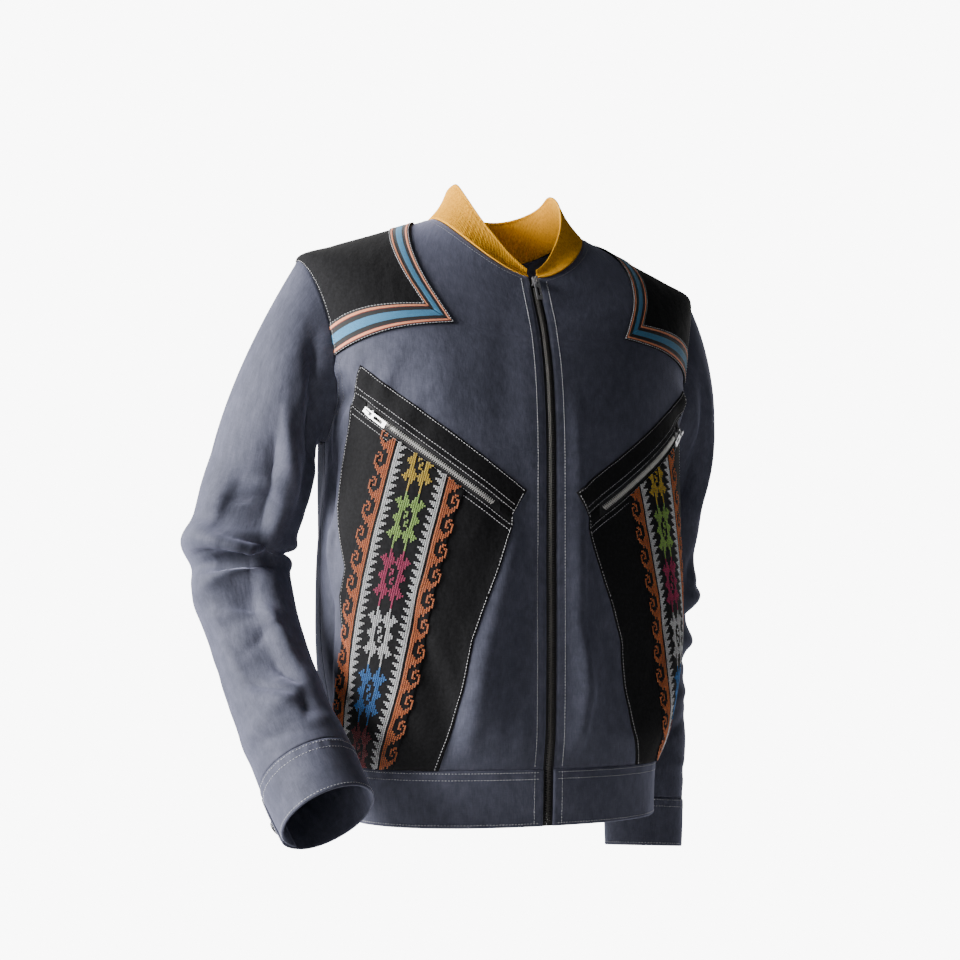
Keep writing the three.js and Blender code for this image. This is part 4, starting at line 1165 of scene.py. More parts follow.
# ---- cross-stitch ---------------------------------------------------------------------------
CELL_WIDE = 1.96
CELL_HIGH = 1.84            # down the panel; the band leans, so along it a cell is 1.9
BAND_LEAN = 0.24            # the rows lie square to the leaning band
THREAD_WIDE = 0.66
UPPER_HALF = [
    "....X.....X....",
    "....X.....X....",
    "....XX...XX....",
    "..X.XX...XX.X..",
    ".XX.XXX.XXX.XX.",
    "XXXXXXX.XXXXXXX",
    ".XXXXXXXXXXXXX.",
    "..XXXXX.XXXXX..",
    "..XXXX...XXXX..",
    "...XXX...XXX...",
    "...XX..XX.XX...",
    "...XX..X..XX...",
    "..XXX..XX.XXX..",
    ".XXXX...X.XXXX.",
]
MOTIF = UPPER_HALF + [row[::-1] for row in reversed(UPPER_HALF)] + ["....X.....X...."] * 2
HOOK = [
    "...XX.",
    "..XX..",
    "..X.XX",
    "..X..X",
    "..XX.X",
    ".....X",
    "X...XX",
    "XX.XX.",
    "XXXXX.",
    "XXXX..",
    "XXX...",
    "X.X...",
    "X.....",
]
SAW = [3, 2, 1, 0]
MOTIF_COLOURS = ["yellow", "lime", "magenta", "white", "blue", "dark_red"]
FIRST_MOTIF_Z = -252          # height of the first motif's upper end in the middle of the band
BAND_COLUMNS = 45
CHART_ROWS = 180
WHITE_LINE = (9, 10)        # these four count columns in from the band's edges
SAW_START = 11
ORANGE_LINE = (6, 7)
HOOK_START = 5


def charted():
    """Every filled cell as (column from the middle, row, colour)."""
    cells = []
    middle = BAND_COLUMNS // 2
    for row in range(CHART_ROWS):
        motif, motif_row = divmod(row, len(MOTIF))
        for k, mark in enumerate(MOTIF[motif_row]):
            if mark == "X":
                cells.append((k - len(MOTIF[0]) // 2, row, MOTIF_COLOURS[motif]))
        for side in (-1, 1):
            for k in range(SAW[row % len(SAW)]):
                cells.append((side * (middle - SAW_START - k), row, "white"))
            cells += [(side * (middle - k), row, "white") for k in WHITE_LINE]
            cells += [(side * (middle - k), row, "orange") for k in ORANGE_LINE]
            for k, mark in enumerate(HOOK[row % len(HOOK)]):
                if mark == "X":
                    cells.append((side * (middle - HOOK_START + k), row, "orange"))
    return cells


def band_middle(z):
    knots = np.array([[-220, 117], *BAND_MIDDLE], float)[::-1]
    return np.interp(z, knots[:, 0], knots[:, 1])


def add_cross_stitch(panel, word):
    """Each cell's two crossing threads, by colour, on the black band."""
    rng = np.random.default_rng(7 if word == "right" else 8)
    chart = {}
    for column, row, colour in charted():
        chart.setdefault(colour, []).append((column, row))
    lift = TWILL + ON_PATCH + RIBBON_WALL
    made = []
    for colour, cells in chart.items():
        cells = np.array(cells, float)
        down = FIRST_MOTIF_Z - CELL_HIGH * cells[:, 1]
        z = down + BAND_LEAN * CELL_WIDE * cells[:, 0]
        round_it = band_middle(down) + CELL_WIDE * cells[:, 0]
        below_zip = z < np.array([on_slot(r, POCKET_SLOT + 1.6)[1] for r in round_it])
        on_cloth = z > WAIST_Z + 1.2
        keep = below_zip & on_cloth
        round_it, z = round_it[keep], z[keep]
        wide, high_half = 0.40 * CELL_WIDE, 0.50 * CELL_HIGH
        corners = {}
        for a in (-1, 1):
            for b in (-1, 1):
                shift = rng.normal(0, 0.05, (2, len(z)))
                corners[a, b] = panel.at_height(
                    round_it + a * wide - BAND_LEAN * b * high_half + shift[0],
                    z + b * high_half + BAND_LEAN * a * wide + shift[1])
        batches = []
        for (start, end), high in ((((-1, -1), (1, 1)), 0.5), (((-1, 1), (1, -1)), 0.62)):
            p, out = corners[start]
            q, _ = corners[end]
            batches.append(bars(p + out * lift, q + out * lift, out, THREAD_WIDE, high))
        made.append(sew(f"cross_stitch_{colour}_{word}", batches, THREADS[colour]))
    return made


# ---- sleeves --------------------------------------------------------------------------------
SLEEVE_COLUMNS = ["along", "out", "y", "z", "across", "deep", "turn"]
TURN_MM = 0.87              # one degree round a sleeve
RIGHT_SLEEVE = {
    "side": -1,
    "length": 343,
    "table": smooth_table(SLEEVE_COLUMNS, [
        [0, 257, 27, -270, 49, 61, 0],
        [42, 264, 38, -310, 52, 57, 0],
        [94, 274, 42, -361, 50, 54, 0],
        [153, 267, 26, -417, 46, 51, 0],
        [210, 257, 0, -467, 44, 48, 0],
        [277, 245, -40, -520, 43, 46, 0],
        [343, 231, -82, -569, 45, 46, 0],
    ]),
    # along, round, reach, span, height, lean: the elbow's roll and the hollow under it first
    "folds": [
        [86, 20, 12, 75, 9, 0],
        [106, 45, 9, 70, -9, 4],
        [20, 50, 26, 34, -6, 55],
        [10, 95, 30, 26, 5, 30],
        [62, 60, 12, 40, -6, -14],
        [132, 15, 14, 45, 4, -16],
        [150, 70, 16, 40, -5, 26],
        [186, 20, 16, 42, -4, 18],
        [238, 60, 20, 60, -4, 26],
        [270, 100, 18, 50, 4, -18],
        [90, 180, 10, 50, -8, 0],
        [72, 175, 9, 40, 5, 0],
        [110, 190, 9, 40, 5, 6],
        [300, 30, 16, 60, 3, 10],
        [40, 250, 22, 50, 4, -20],
    ],
    # along and turn of both ends, height, half width on its two sides; along is minus above
    # the underarm. Lines and fine folds are laid on the finished sleeve.
    "lines": [
        # the hollow by the armhole, the light strip beside the seam and the ridge before it
        [-132, 80, -95, 118, -6.0, 10, 9],
        [-95, 118, -40, 140, -8.0, 12, 10],
        [-40, 140, 24, 138, -6.0, 12, 10],
        [-112, 96, -60, 112, 3.0, 8, 8],
        [-46, 92, 8, 117, 6.5, 8, 10],
        [8, 117, 74, 114, 3.2, 8, 10],
        # the hollow in front of the elbow
        [-40, 84, 14, 94, -11.0, 34, 9],
        [10, 90, 68, 97, -14.0, 44, 12],
        [24, 48, 64, 46, -5.0, 7, 16],
        # the elbow's roll, its tip, its thin crease and the hollow under it
        [76, 14, 90, 66, 4.0, 9, 8],
        [88, 60, 95, 96, 9.0, 9, 7],
        [92, 84, 96, 97, 7.0, 7, 6],
        [76, 112, 122, 118, -6.0, 8, 10],
        [97, 4, 96, 50, -3.0, 2.6, 2.6],
        [110, 36, 117, 84, -8.0, 9, 9],
        [117, 84, 126, 130, -7.0, 12, 8],
        # the armpit's fullness
        [-44, 152, 34, 150, 6.5, 16, 16],
        # the forearm: the long hollow, its left edge, the ridge, the dimple and its creases
        [122, 84, 192, 80, -14.0, 46, 18],
        [186, 80, 262, 86, -10.5, 42, 17],
        [150, 24, 196, 22, 2.4, 12, 7],
        [196, 22, 262, 36, 2.4, 12, 7],
        [136, 62, 150, 104, 4.0, 8, 9],
        [166, 94, 238, 106, 6.0, 20, 7],
        [248, 86, 276, 106, -5.5, 8, 9],
        [250, 34, 284, 86, -3.2, 7, 4],
        [276, 60, 300, 84, 2.6, 7, 8],
        [288, 100, 312, 92, -4.0, 6, 7],
        [318, 36, 334, 84, -2.4, 5, 7],
        # the far side
        [-80, 250, -10, 230, -5.0, 12, 14],
        [-60, 300, 10, 280, 4.0, 12, 14],
        [30, 300, 70, 262, -4.5, 10, 12],
        [90, 330, 96, 260, 5.0, 9, 10],
        [112, 320, 120, 250, -6.0, 8, 9],
        [150, 310, 170, 250, 4.5, 9, 10],
        [190, 300, 180, 240, -4.0, 9, 10],
        [240, 310, 262, 256, 4.0, 9, 10],
        [286, 300, 300, 240, -3.4, 8, 10],
    ],
    "fine_folds": [
        [126, 60, 6, 40, 2.0, -10],
        [170, 45, 8, 34, 2.0, 20],
        [205, 80, 8, 36, -2.0, -24],
        [225, 20, 9, 30, 1.8, 14],
        [255, 40, 8, 44, -2.2, 22],
        [290, 75, 8, 40, 2.0, -20],
        [315, 20, 9, 34, -1.6, 12],
        [320, 110, 8, 34, 1.8, -10],
        [-70, 300, 30, 26, 2.0, -40],
        [60, 300, 14, 40, -2.4, 20],
        [120, 280, 12, 36, 2.2, -18],
        [200, 300, 14, 40, -2.2, 16],
        [260, 270, 12, 38, 2.2, -14],
        [100, 230, 9, 40, -3.0, 6],
    ],
}
LEFT_SLEEVE = {
    "side": 1,
    "length": 357,
    "table": smooth_table(SLEEVE_COLUMNS, [
        [0, 229, 64, -272, 36, 60, 20],
        [75, 222, 80, -345, 38, 60, 28],
        [140, 219, 86, -410, 38, 58, 30],
        [190, 214, 88, -460, 40, 54, 30],
        [270, 212, 84, -540, 41, 50, 25],
        [357, 206, 74, -626, 41, 45, 20],
    ]),
    "folds": [
        [120, 30, 16, 60, 4, 8],
        [150, 45, 11, 70, -5, 6],
        [60, 50, 24, 40, -4, 30],
        [178, 20, 14, 50, 3, -12],
        [230, 70, 20, 50, -3, 20],
        [285, 20, 18, 60, 3, 14],
        [40, 290, 22, 50, -3, -20],
        [150, 290, 14, 50, -3, 10],
    ],
    "lines": [
        [-120, 84, -60, 116, -5.0, 10, 10],
        [-60, 116, 10, 128, -6.5, 12, 10],
        [-50, 76, 20, 96, 5.0, 9, 11],
        [-10, 56, 60, 52, -5.0, 12, 14],
        [70, 90, 110, 100, -5.0, 10, 12],
        [112, 20, 122, 84, 6.0, 9, 8],
        [136, 40, 150, 110, -6.5, 7, 9],
        [166, 30, 176, 96, 4.5, 8, 9],
        [196, 60, 190, 112, -4.0, 8, 10],
        [226, 40, 246, 96, 4.0, 8, 10],
        [262, 60, 286, 112, -3.6, 7, 9],
        [306, 40, 320, 90, 3.0, 7, 9],
        [-70, 260, 0, 236, -4.5, 12, 14],
        [40, 300, 66, 250, 4.5, 10, 12],
        [112, 320, 122, 250, 5.5, 9, 9],
        [136, 310, 146, 250, -6.0, 8, 9],
        [180, 300, 196, 250, 4.0, 9, 10],
        [236, 310, 226, 250, -3.6, 9, 10],
        [290, 300, 306, 250, 3.6, 9, 10],
    ],
    "fine_folds": [
        [100, 60, 9, 40, 2.0, -12],
        [165, 90, 9, 36, 2.2, 16],
        [205, 40, 9, 40, -2.0, -18],
        [250, 30, 10, 44, 2.0, 20],
        [310, 60, 9, 40, -1.8, -14],
        [335, 20, 8, 40, 1.6, 10],
        [110, 300, 12, 40, 2.4, 16],
        [190, 280, 12, 40, -2.2, -16],
        [240, 310, 12, 36, 2.0, 14],
        [300, 280, 12, 40, 2.0, -12],
    ],
}
CAP_FALL = 1.8
CAP_CLIMB = 0.35
CAP_PULL = 1.1
CAP_LENGTH = 150            # the cap's own distance, for laying the fine folds
SECTION_REACH = 12
SEAM_TUCK = 0.8             # how far a sleeve's inner edge reaches back behind the armhole's seam
SEAM_LIP = {"drops": (0.15, 2.0), "deep": 0.6, "wall": 0.35}   # it lies behind the cuff's seam


def sleeve_middle(sleeve, along):
    table = sleeve["table"]
    return np.stack([sleeve["side"] * table["out"](along), table["y"](along), table["z"](along)], -1)


def sleeve_frame(sleeve, along):
    along = np.asarray(along, float)
    before = sleeve_middle(sleeve, np.maximum(along - SECTION_REACH, 0))
    after = sleeve_middle(sleeve, np.minimum(along + SECTION_REACH, sleeve["length"]))
    down = unit(after - before)
    turn = np.radians(sleeve["table"]["turn"](along))
    outer = np.stack([sleeve["side"] * np.cos(turn), np.sin(turn), np.zeros_like(turn)], -1)
    outer = unit(outer - down * (outer * down).sum(-1, keepdims=True))
    front = np.cross(down, outer)
    front = np.where(front[..., 1:2] > 0, -front, front)
    return sleeve_middle(sleeve, along), down, outer, front


def fold_sum(folds, along, turn):
    total = np.zeros(np.broadcast(along, turn).shape)
    for at, round_it, reach, span, height, lean in folds:
        off = ((turn - round_it + 540) % 360) - 180
        place = along - at - lean * off / 90
        total += height * np.exp(-((place / reach) ** 2) - (off / span) ** 2)
    return total


def on_cloth(lines):
    """Lines with their turns in millimetres round the sleeve."""
    return [[a, b * TURN_MM, c, d * TURN_MM, *rest] for a, b, c, d, *rest in lines]


def sleeve_point(sleeve, along, turn):
    """Points for a column of distances and a row of turns."""
    middle, _, outer, front = sleeve_frame(sleeve, along)
    quiet = np.minimum(1, (sleeve["length"] - along) / 30)
    rise = fold_sum(sleeve["folds"], along[:, None], turn[None]) * quiet[:, None]
    angle = np.radians(turn)[None, :, None]
    across = (sleeve["table"]["across"](along)[:, None] + rise)[..., None]
    deep = (sleeve["table"]["deep"](along)[:, None] + rise)[..., None]
    return (middle[:, None] + outer[:, None] * across * np.cos(angle)
            + front[:, None] * deep * np.sin(angle))


def edge_start(point, out, inward, leaving, thickness):
    along = np.maximum((leaving * inward).sum(-1, keepdims=True), 0.05)
    lift = (leaving * out).sum(-1, keepdims=True)
    turned = unit(out * along - inward * lift)
    sunk = np.maximum(0, -(turned * inward).sum(-1, keepdims=True))
    return point + inward * (GAP + thickness * sunk), turned


def inward_of(points, outs, wrapped=True):
    middle = points.mean(0)
    after = np.roll(points, -1, 0) - np.roll(points, 1, 0) if wrapped else np.gradient(points, axis=0)
    inward = unit(np.cross(after, outs))
    facing = ((middle - points) * inward).sum(-1, keepdims=True)
    return np.where(facing < 0, -inward, inward)


def leaving_direction(side, turn):
    cos = np.cos(np.radians(turn))
    top, under = np.maximum(cos, 0), np.maximum(-cos, 0)
    return unit(np.stack([side * np.ones_like(cos), np.zeros_like(cos),
                          CAP_CLIMB * under - CAP_FALL * top], -1))


def hermite(start, leave, end, arrive, t):
    return ((2 * t**3 - 3 * t**2 + 1) * start + (t**3 - 2 * t**2 + t) * leave
            + (3 * t**2 - 2 * t**3) * end + (t**3 - t**2) * arrive)


def sleeve_grid(sleeve):
    """Inner points and outward directions from the armhole to the cuff's seam."""
    side = sleeve["side"]
    turns = np.linspace(0, 360, 132, endpoint=False)
    edge, edge_out = body_frame(armhole_angle(side, turns), armhole_level(turns))
    leaving = leaving_direction(side, turns)
    start, start_out = edge_start(edge, edge_out, inward_of(edge, edge_out), leaving, TWILL)
    stations = np.arange(0, sleeve["length"] + 0.1, sleeve["length"] / round(sleeve["length"] / FINE))
    arm = sleeve_point(sleeve, stations, turns)
    _, down, _, _ = sleeve_frame(sleeve, 0.0)
    pull = np.linalg.norm(arm[0] - start, axis=-1, keepdims=True)
    shares = np.linspace(0, 1, 42)[:-1]
    cap = np.stack([hermite(start, leaving * pull, arm[0], down * pull * CAP_PULL, t) for t in shares])
    points = np.concatenate([cap, arm])
    v = np.concatenate([(shares - 1) * CAP_LENGTH, stations])
    out = grid_normals(points, True)
    middles = points.mean(1, keepdims=True)
    out = np.where(((points - middles) * out).sum(-1, keepdims=True) < 0, -out, out)
    out[0] = start_out
    quiet = np.minimum(1, np.minimum((v + CAP_LENGTH) / 25, (sleeve["length"] - v) / 20))
    around = (turns[None] + 40) % 360 - 40
    rise = fold_sum(sleeve["fine_folds"], v[:, None], turns[None])
    rise = (rise + line_rise(on_cloth(sleeve["lines"]), v[:, None], around * TURN_MM)) * quiet[:, None]
    points = points + out * rise[..., None]
    fresh = grid_normals(points, True)
    fresh = np.where((fresh * out).sum(-1, keepdims=True) < 0, -fresh, fresh)
    fresh[0] = start_out
    return points, fresh, v, turns


def add_sleeve(sleeve, word):
    points, out, v, turns = sleeve_grid(sleeve)
    columns = np.append(turns, 360.0) * (340 / 360)
    uv = np.stack(np.broadcast_arrays(columns[None], v[:, None]), -1)
    inner, outer = points.copy(), points + out * TWILL
    inner[0] -= unit(points[1] - points[0]) * SEAM_TUCK
    turned = (turns - CUFF_START) % 360
    outer[-1] += out[-1] * np.maximum(lap_lift(turned) - TWILL / 2, 0)[:, None]
    onward = unit(points[-1] - points[-2])
    for drop in SEAM_LIP["drops"]:
        lip = points[-1] + onward * drop - out[-1] * SEAM_LIP["deep"]
        inner = np.concatenate([inner, lip[None]])
        outer = np.concatenate([outer, (lip + out[-1] * SEAM_LIP["wall"])[None]])
        uv = np.concatenate([uv, uv[-1:] + (0, drop)])
    piece = shell(f"sleeve_{word}_cloth", outer, inner, uv, wrapped=True)
    finish_piece(piece, "slate_twill", [f"sleeve_{word}"])
    return points, out, v, turns


# ---- cuffs ----------------------------------------------------------------------------------
def cuff_point(sleeve, drop, turn, lift):
    middle, down, outer, front = sleeve_frame(sleeve, float(sleeve["length"]))
    taper = lerp(1, CUFF_TAPER, drop / CUFF_DROP)
    across = sleeve["table"]["across"](sleeve["length"]) * taper + lift
    deep = sleeve["table"]["deep"](sleeve["length"]) * taper + lift
    angle = np.radians(turn)
    return (middle + down * np.asarray(drop)[..., None] + outer * (across * np.cos(angle))[..., None]
            + front * (deep * np.sin(angle))[..., None])


def lap_lift(turned):
    low, high = CUFF_RAMP
    return (BAND_WALL + GAP) * ease((turned - low) / (high - low))


def cuff_frame(sleeve, drop, turned):
    drop, turned = np.broadcast_arrays(np.asarray(drop, float), np.asarray(turned, float))
    turn, lift = CUFF_START + turned, lap_lift(turned)
    point = cuff_point(sleeve, drop, turn, lift)
    across = cuff_point(sleeve, drop, turn + 1, lift) - cuff_point(sleeve, drop, turn - 1, lift)
    down = cuff_point(sleeve, drop + 1, turn, lift) - cuff_point(sleeve, drop - 1, turn, lift)
    out = unit(np.cross(across, down))
    middle, along, _, _ = sleeve_frame(sleeve, float(sleeve["length"]))
    centre = middle + along * drop[..., None]
    facing = ((point - centre) * out).sum(-1, keepdims=True)
    return point, np.where(facing < 0, -out, out)


CUFF_ROWS = (2.4, 9.4, CUFF_DROP - 2.8)


def cuff_face(sleeve, drop, turned):
    """The cuff's inner face with the puckers that its stitches draw."""
    point, out = cuff_frame(sleeve, drop, turned)
    drop, turned = np.broadcast_arrays(np.asarray(drop, float), np.asarray(turned, float))
    wave = np.sin(np.radians(turned) * 23 + 1.2 * np.sin(np.radians(turned) * 5))
    pucker = 0.4 * wave * np.exp(-((drop - 6) / 5) ** 2)
    pucker += 0.8 * np.sin(np.radians(turned) * 3 + 1) * np.sin(np.pi * drop / CUFF_DROP)
    return point + out * pucker[..., None], out


def add_cuff(sleeve, word):
    edge = np.array([0, 0.6, 1.5])
    drops = np.concatenate([CUFF_GAP + edge, np.linspace(4, CUFF_DROP - 3, 16), CUFF_DROP - edge[::-1]])
    turned = np.linspace(0, 360 + CUFF_LAP, 130)
    point, out = cuff_face(sleeve, drops[:, None], turned[None])
    table, end = sleeve["table"], sleeve["length"]
    radius = (table["across"](end) + table["deep"](end)) / 2
    round_it = np.radians(turned) * radius
    thin = fold_edge(np.minimum(drops - CUFF_GAP + 0.5, CUFF_DROP - drops), 1.6)[:, None]
    thin = thin * fold_edge(np.minimum(round_it, round_it[-1] - round_it), 1.6)[None]
    uv = np.stack(np.broadcast_arrays(round_it[None], drops[:, None]), -1)
    piece = shell(f"cuff_{word}_cloth", *wall(point, out, BAND_WALL, thin), uv)
    finish_piece(piece, "slate_twill", [f"cuff_{word}"])
    batches = []
    visible = np.linspace(3, 360 + CUFF_LAP - 2, 200)
    for drop in CUFF_ROWS:
        batches.append(topstitch(*cuff_face(sleeve, drop, visible), BAND_WALL - 0.1))
    edge = np.linspace(4, CUFF_DROP - 4, 30)
    lap_end = np.full_like(edge, 360 + CUFF_LAP - 2.8)
    batches.append(topstitch(*cuff_face(sleeve, edge, lap_end), BAND_WALL - 0.1))
    sew(f"cuff_{word}_stitches", batches)
    add_button(sleeve, word)


BUTTON_PROFILE = [(0, 0.0), (0.90, 0.0), (0.97, 0.5), (1.0, 1.2), (0.98, 2.0), (0.92, 2.45),
                  (0.82, 2.5), (0.74, 2.2), (0.66, 1.75), (0.5, 1.6), (0.3, 1.55), (0, 1.5)]
BUTTON_HOLE = 1.7           # from the button's middle, along both its axes
BUTTON_THREAD = {"above": 1.62, "wide": 0.9, "high": 0.5}


def add_button(sleeve, word):
    """A four-hole button with a rim and a thread cross, on the cuff's lap."""
    seat, out = cuff_frame(sleeve, CUFF_DROP * BUTTON_PLACE, 360 + CUFF_LAP / 2)
    _, down, _, _ = sleeve_frame(sleeve, float(sleeve["length"]))
    x = unit(down - out * (down * out).sum())
    y = np.cross(out, x)
    base = seat + out * (BAND_WALL + GAP)
    count = 48
    angles = np.linspace(0, 2 * math.pi, count, endpoint=False)
    rings = np.array([[base + out * h + (x * math.cos(a) + y * math.sin(a)) * (BUTTON_RADIUS * r)
                       for a in angles] for r, h in BUTTON_PROFILE[1:-1]])
    points = np.concatenate([rings.reshape(-1, 3), [base], [base + out * BUTTON_PROFILE[-1][1]]])
    faces = []
    for r in range(len(rings) - 1):
        for k in range(count):
            j = (k + 1) % count
            faces.append([r * count + k, r * count + j, (r + 1) * count + j, (r + 1) * count + k])
    low, high = len(points) - 2, len(points) - 1
    last = (len(rings) - 1) * count
    faces += [[low, (k + 1) % count, k] for k in range(count)]
    faces += [[high, last + k, last + (k + 1) % count] for k in range(count)]
    piece = make_piece(f"button_{word}", points, faces)
    finish_piece(piece, "button", [f"cuff_button_{word}"])
    hole, top = BUTTON_HOLE, base + out * BUTTON_THREAD["above"]
    starts, ends = [], []
    for a in (-1, 1):
        starts += [top + x * hole * a - y * hole, top + x * hole - y * hole * a]
        ends += [top + x * hole * a + y * hole, top - x * hole - y * hole * a]
    outs = np.tile(out, (len(starts), 1))
    cross = bars(starts, ends, outs, BUTTON_THREAD["wide"], BUTTON_THREAD["high"])
    sew(f"button_thread_{word}", [cross])


# ---- waistband ------------------------------------------------------------------------------
def waistband_frame(angle, drop):
    point, out = body_frame(angle, np.zeros_like(angle))
    drop = np.asarray(drop, float)[..., None]
    point = point - out * HEM_DRAW_IN * drop / WAISTBAND_DROP
    flat = np.array([1, 1, 0.0])
    return point * flat + np.array([0, 0, 1]) * (WAIST_Z - GAP - drop), out


WAISTBAND_ROWS = (2.4, 8.8, WAISTBAND_DROP - 3.0)


def waistband_face(angle, drop):
    """The waistband's inner face with the puckers that its stitches draw."""
    angle, drop = np.broadcast_arrays(np.asarray(angle, float), np.asarray(drop, float))
    point, out = waistband_frame(angle, drop)
    round_it = angle * ROUND_PER_DEGREE
    near_seam = np.exp(-((drop - 6) / 5) ** 2)
    near_hem = np.exp(-((drop - WAISTBAND_DROP + 4) / 5) ** 2)
    rise = 0.4 * np.sin(round_it / 6.1 + 1.3 * np.sin(round_it / 31)) * near_seam
    rise += 0.35 * np.sin(round_it / 7.4 + 0.7) * near_hem
    rise += 0.9 * np.sin(round_it / 37 + 0.5) * np.sin(np.pi * drop / WAISTBAND_DROP)
    return point + out * rise[..., None], out


def add_waistband(word, angles):
    edge = np.array([0, 0.7, 1.6])
    drops = np.concatenate([edge, np.linspace(4, WAISTBAND_DROP - 4, 18), WAISTBAND_DROP - edge[::-1]])
    point, out = waistband_face(angles[None], drops[:, None])
    round_it = run_length(point[0])
    thin = fold_edge(np.minimum(drops + 0.3, WAISTBAND_DROP - drops), 1.6)[:, None]
    uv = np.stack(np.broadcast_arrays(round_it[None], -drops[:, None]), -1)
    piece = shell(f"waistband_{word}_cloth", *wall(point, out, BAND_WALL, thin), uv)
    finish_piece(piece, "slate_twill", [f"waistband_{word}"])
    shown = angles[1:-1] if word == "back" else angles[2:]
    batches = [topstitch(*waistband_face(shown, drop), BAND_WALL - 0.1) for drop in WAISTBAND_ROWS]
    if word != "back":
        side = np.sign(angles[-1])
        upright = np.linspace(1.5, WAISTBAND_DROP - 2, 40)
        beside_zip = side * float(zip_angle(0.0, ROW_BESIDE_ZIP))
        for angle in (beside_zip, angles[-1] - side * 0.9):
            batches.append(topstitch(*waistband_face(angle, upright), BAND_WALL - 0.1))
    return batches


# ---- collar ---------------------------------------------------------------------------------
COLLAR = smooth_table(["angle", "height", "lean"], [
    [0, 6, 2],
    [14, 17, 8],
    [30, 29, 15],
    [60, 40, 24],
    [90, 44, 28],
    [130, 46, 20],
    [180, 48, 16],
])
RIB_PITCH = 2.1
RIB_DEPTH = 0.32
COLLAR_SWAY = 2.4           # how far its side bows in between seam and edge


def add_collar():
    start = float(zip_angle(3.0, ZIP_OPENING))
    angles = np.linspace(start, 360 - start, 1100)
    edge, edge_out = body_frame(angles, np.full_like(angles, 3.0))
    middle = edge.mean(0)
    from_front = np.minimum(angles, 360 - angles)
    inside = unit((middle - edge) * [1, 1, 0])
    height = COLLAR["height"](from_front)
    rise = np.array([0, 0, 1.0]) * height[:, None] + inside * COLLAR["lean"](from_front)[:, None]
    inward = inward_of(edge, edge_out, wrapped=False)
    base, out = edge_start(edge, edge_out, inward, unit(rise), RIB_WALL)
    steps = np.concatenate([np.linspace(0, 0.88, 16), np.linspace(0.9, 1, 9)])
    round_it = run_length(edge)
    rib = RIB_DEPTH * np.cos(2 * np.pi * round_it / RIB_PITCH)
    bow = COLLAR_SWAY * np.sin(np.pi * steps)
    wave = 0.8 * np.sin(round_it / 37 + 0.4)[None] * steps[:, None]
    grid = base[None] + rise[None] * steps[:, None, None]
    grid = grid + out[None] * (wave - bow[:, None])[..., None]
    from_top = (1 - steps)[:, None] * height[None]
    thin = fold_edge(from_top, RIB_WALL / 2) * (1 - 0.22 * np.exp(-((from_top - 3.4) / 0.9) ** 2))
    thin = thin * fold_edge(np.minimum(round_it, round_it[-1] - round_it), 1.3)[None]
    centre = grid + out[None] * RIB_WALL / 2
    half = out[None] * (RIB_WALL / 2 * thin + rib[None] * thin)[..., None]
    outer, inner = centre + half, centre - half
    inner[0] -= unit(rise) * (np.linalg.norm(base - edge, axis=-1, keepdims=True) - GAP)
    uv = np.stack([np.broadcast_to(round_it, grid.shape[:2]), steps[:, None] * height[None]], -1)
    piece = shell("collar_cloth", outer, inner, uv)
    finish_piece(piece, "gold_rib", ["collar"])


# ---- front zip ------------------------------------------------------------------------------
def zip_line(round_it, inset, count=420):
    """A line up the front from the hem to the neck, this far from its middle."""
    drops = np.linspace(WAISTBAND_DROP, 0, 40)
    levels = np.linspace(0, 3, count)[1:]
    low = waistband_frame(np.full_like(drops, float(zip_angle(0.0, round_it))), drops)
    high = body_frame(zip_angle(levels, round_it), levels)
    point, out = np.concatenate([low[0], high[0]]), np.concatenate([low[1], high[1]])
    return point + out * inset, out


def add_front_zip():
    under = -(GAP + TAPE_WALL)
    for word, side in SIDES.items():
        rounds = side * np.array([GAP / 2, 2.5, ZIP_OPENING, 9, 12, TAPE_HALF])
        lines = [zip_line(r, under) for r in rounds]
        point = np.stack([line[0] for line in lines], 1)
        out = np.stack([line[1] for line in lines], 1)
        along = run_length(point[:, 0])
        uv = np.stack(np.broadcast_arrays(rounds[None], along[:, None]), -1)
        piece = shell(f"zip_tape_cloth_{word}", point + out * TAPE_WALL, point, uv)
        finish_piece(piece, "zip_tape", [f"front_zip_tape_{word}"])
    point, out = zip_line(0.0, 0.0)
    keep = slice(3, -26)
    points, faces = teeth(point[keep], out[keep], TOOTH, 0.1)
    piece = make_piece("front_teeth", points, faces, smooth=np.zeros(len(faces), bool))
    finish_piece(piece, "zip_teeth", ["front_zip_teeth"])


# ---- topstitching on the fronts -------------------------------------------------------------
EDGE_ROW = 1.9              # from a folded edge to its row of stitches
ROW_BESIDE_ZIP = 14.5       # from the zip's middle
SEAM_ROW = 2.2              # from a panel's edge at the armhole and the shoulder
ARMHOLE_ROWS = (2.0, 7.5)
COLLAR_ROW_LEVEL = 2.945
ROWS_END_Z = WAIST_Z + 1    # just above the waistband
YOKE_ROWS = (-9.0, -2.4)    # down from the pocket's slot
UNDER_ROWS = (POCKET_SLOT + 2.4, POCKET_SLOT + 9.0)


def line_level(a, b, round_it):
    return lerp(a[1], b[1], (round_it - a[0]) / (b[0] - a[0]))


def patch_row(panel):
    """The white row along the patch's edge at the armhole and at the shoulder."""
    turns = np.linspace(120, 0, 90)
    levels = np.concatenate([armhole_level(turns), np.linspace(2.02, 2.83, 50)])
    rounds = panel.reach(levels) - SEAM_ROW
    start = line_level(PATCH_CORNER, ARMHOLE_OUTER, rounds)
    bare = line_level(PATCH_INNER_CORNER, ARMHOLE_INNER, rounds)
    keep = levels > start + 0.004
    levels, rounds, bare = levels[keep], rounds[keep], bare[keep]
    lift = TWILL + np.where(levels > bare, GAP + PATCH_WALL, ON_PATCH + RIBBON_WALL)
    point, out = panel.at_level(rounds, levels)
    return topstitch(point + out * lift[:, None], out, 0.0)


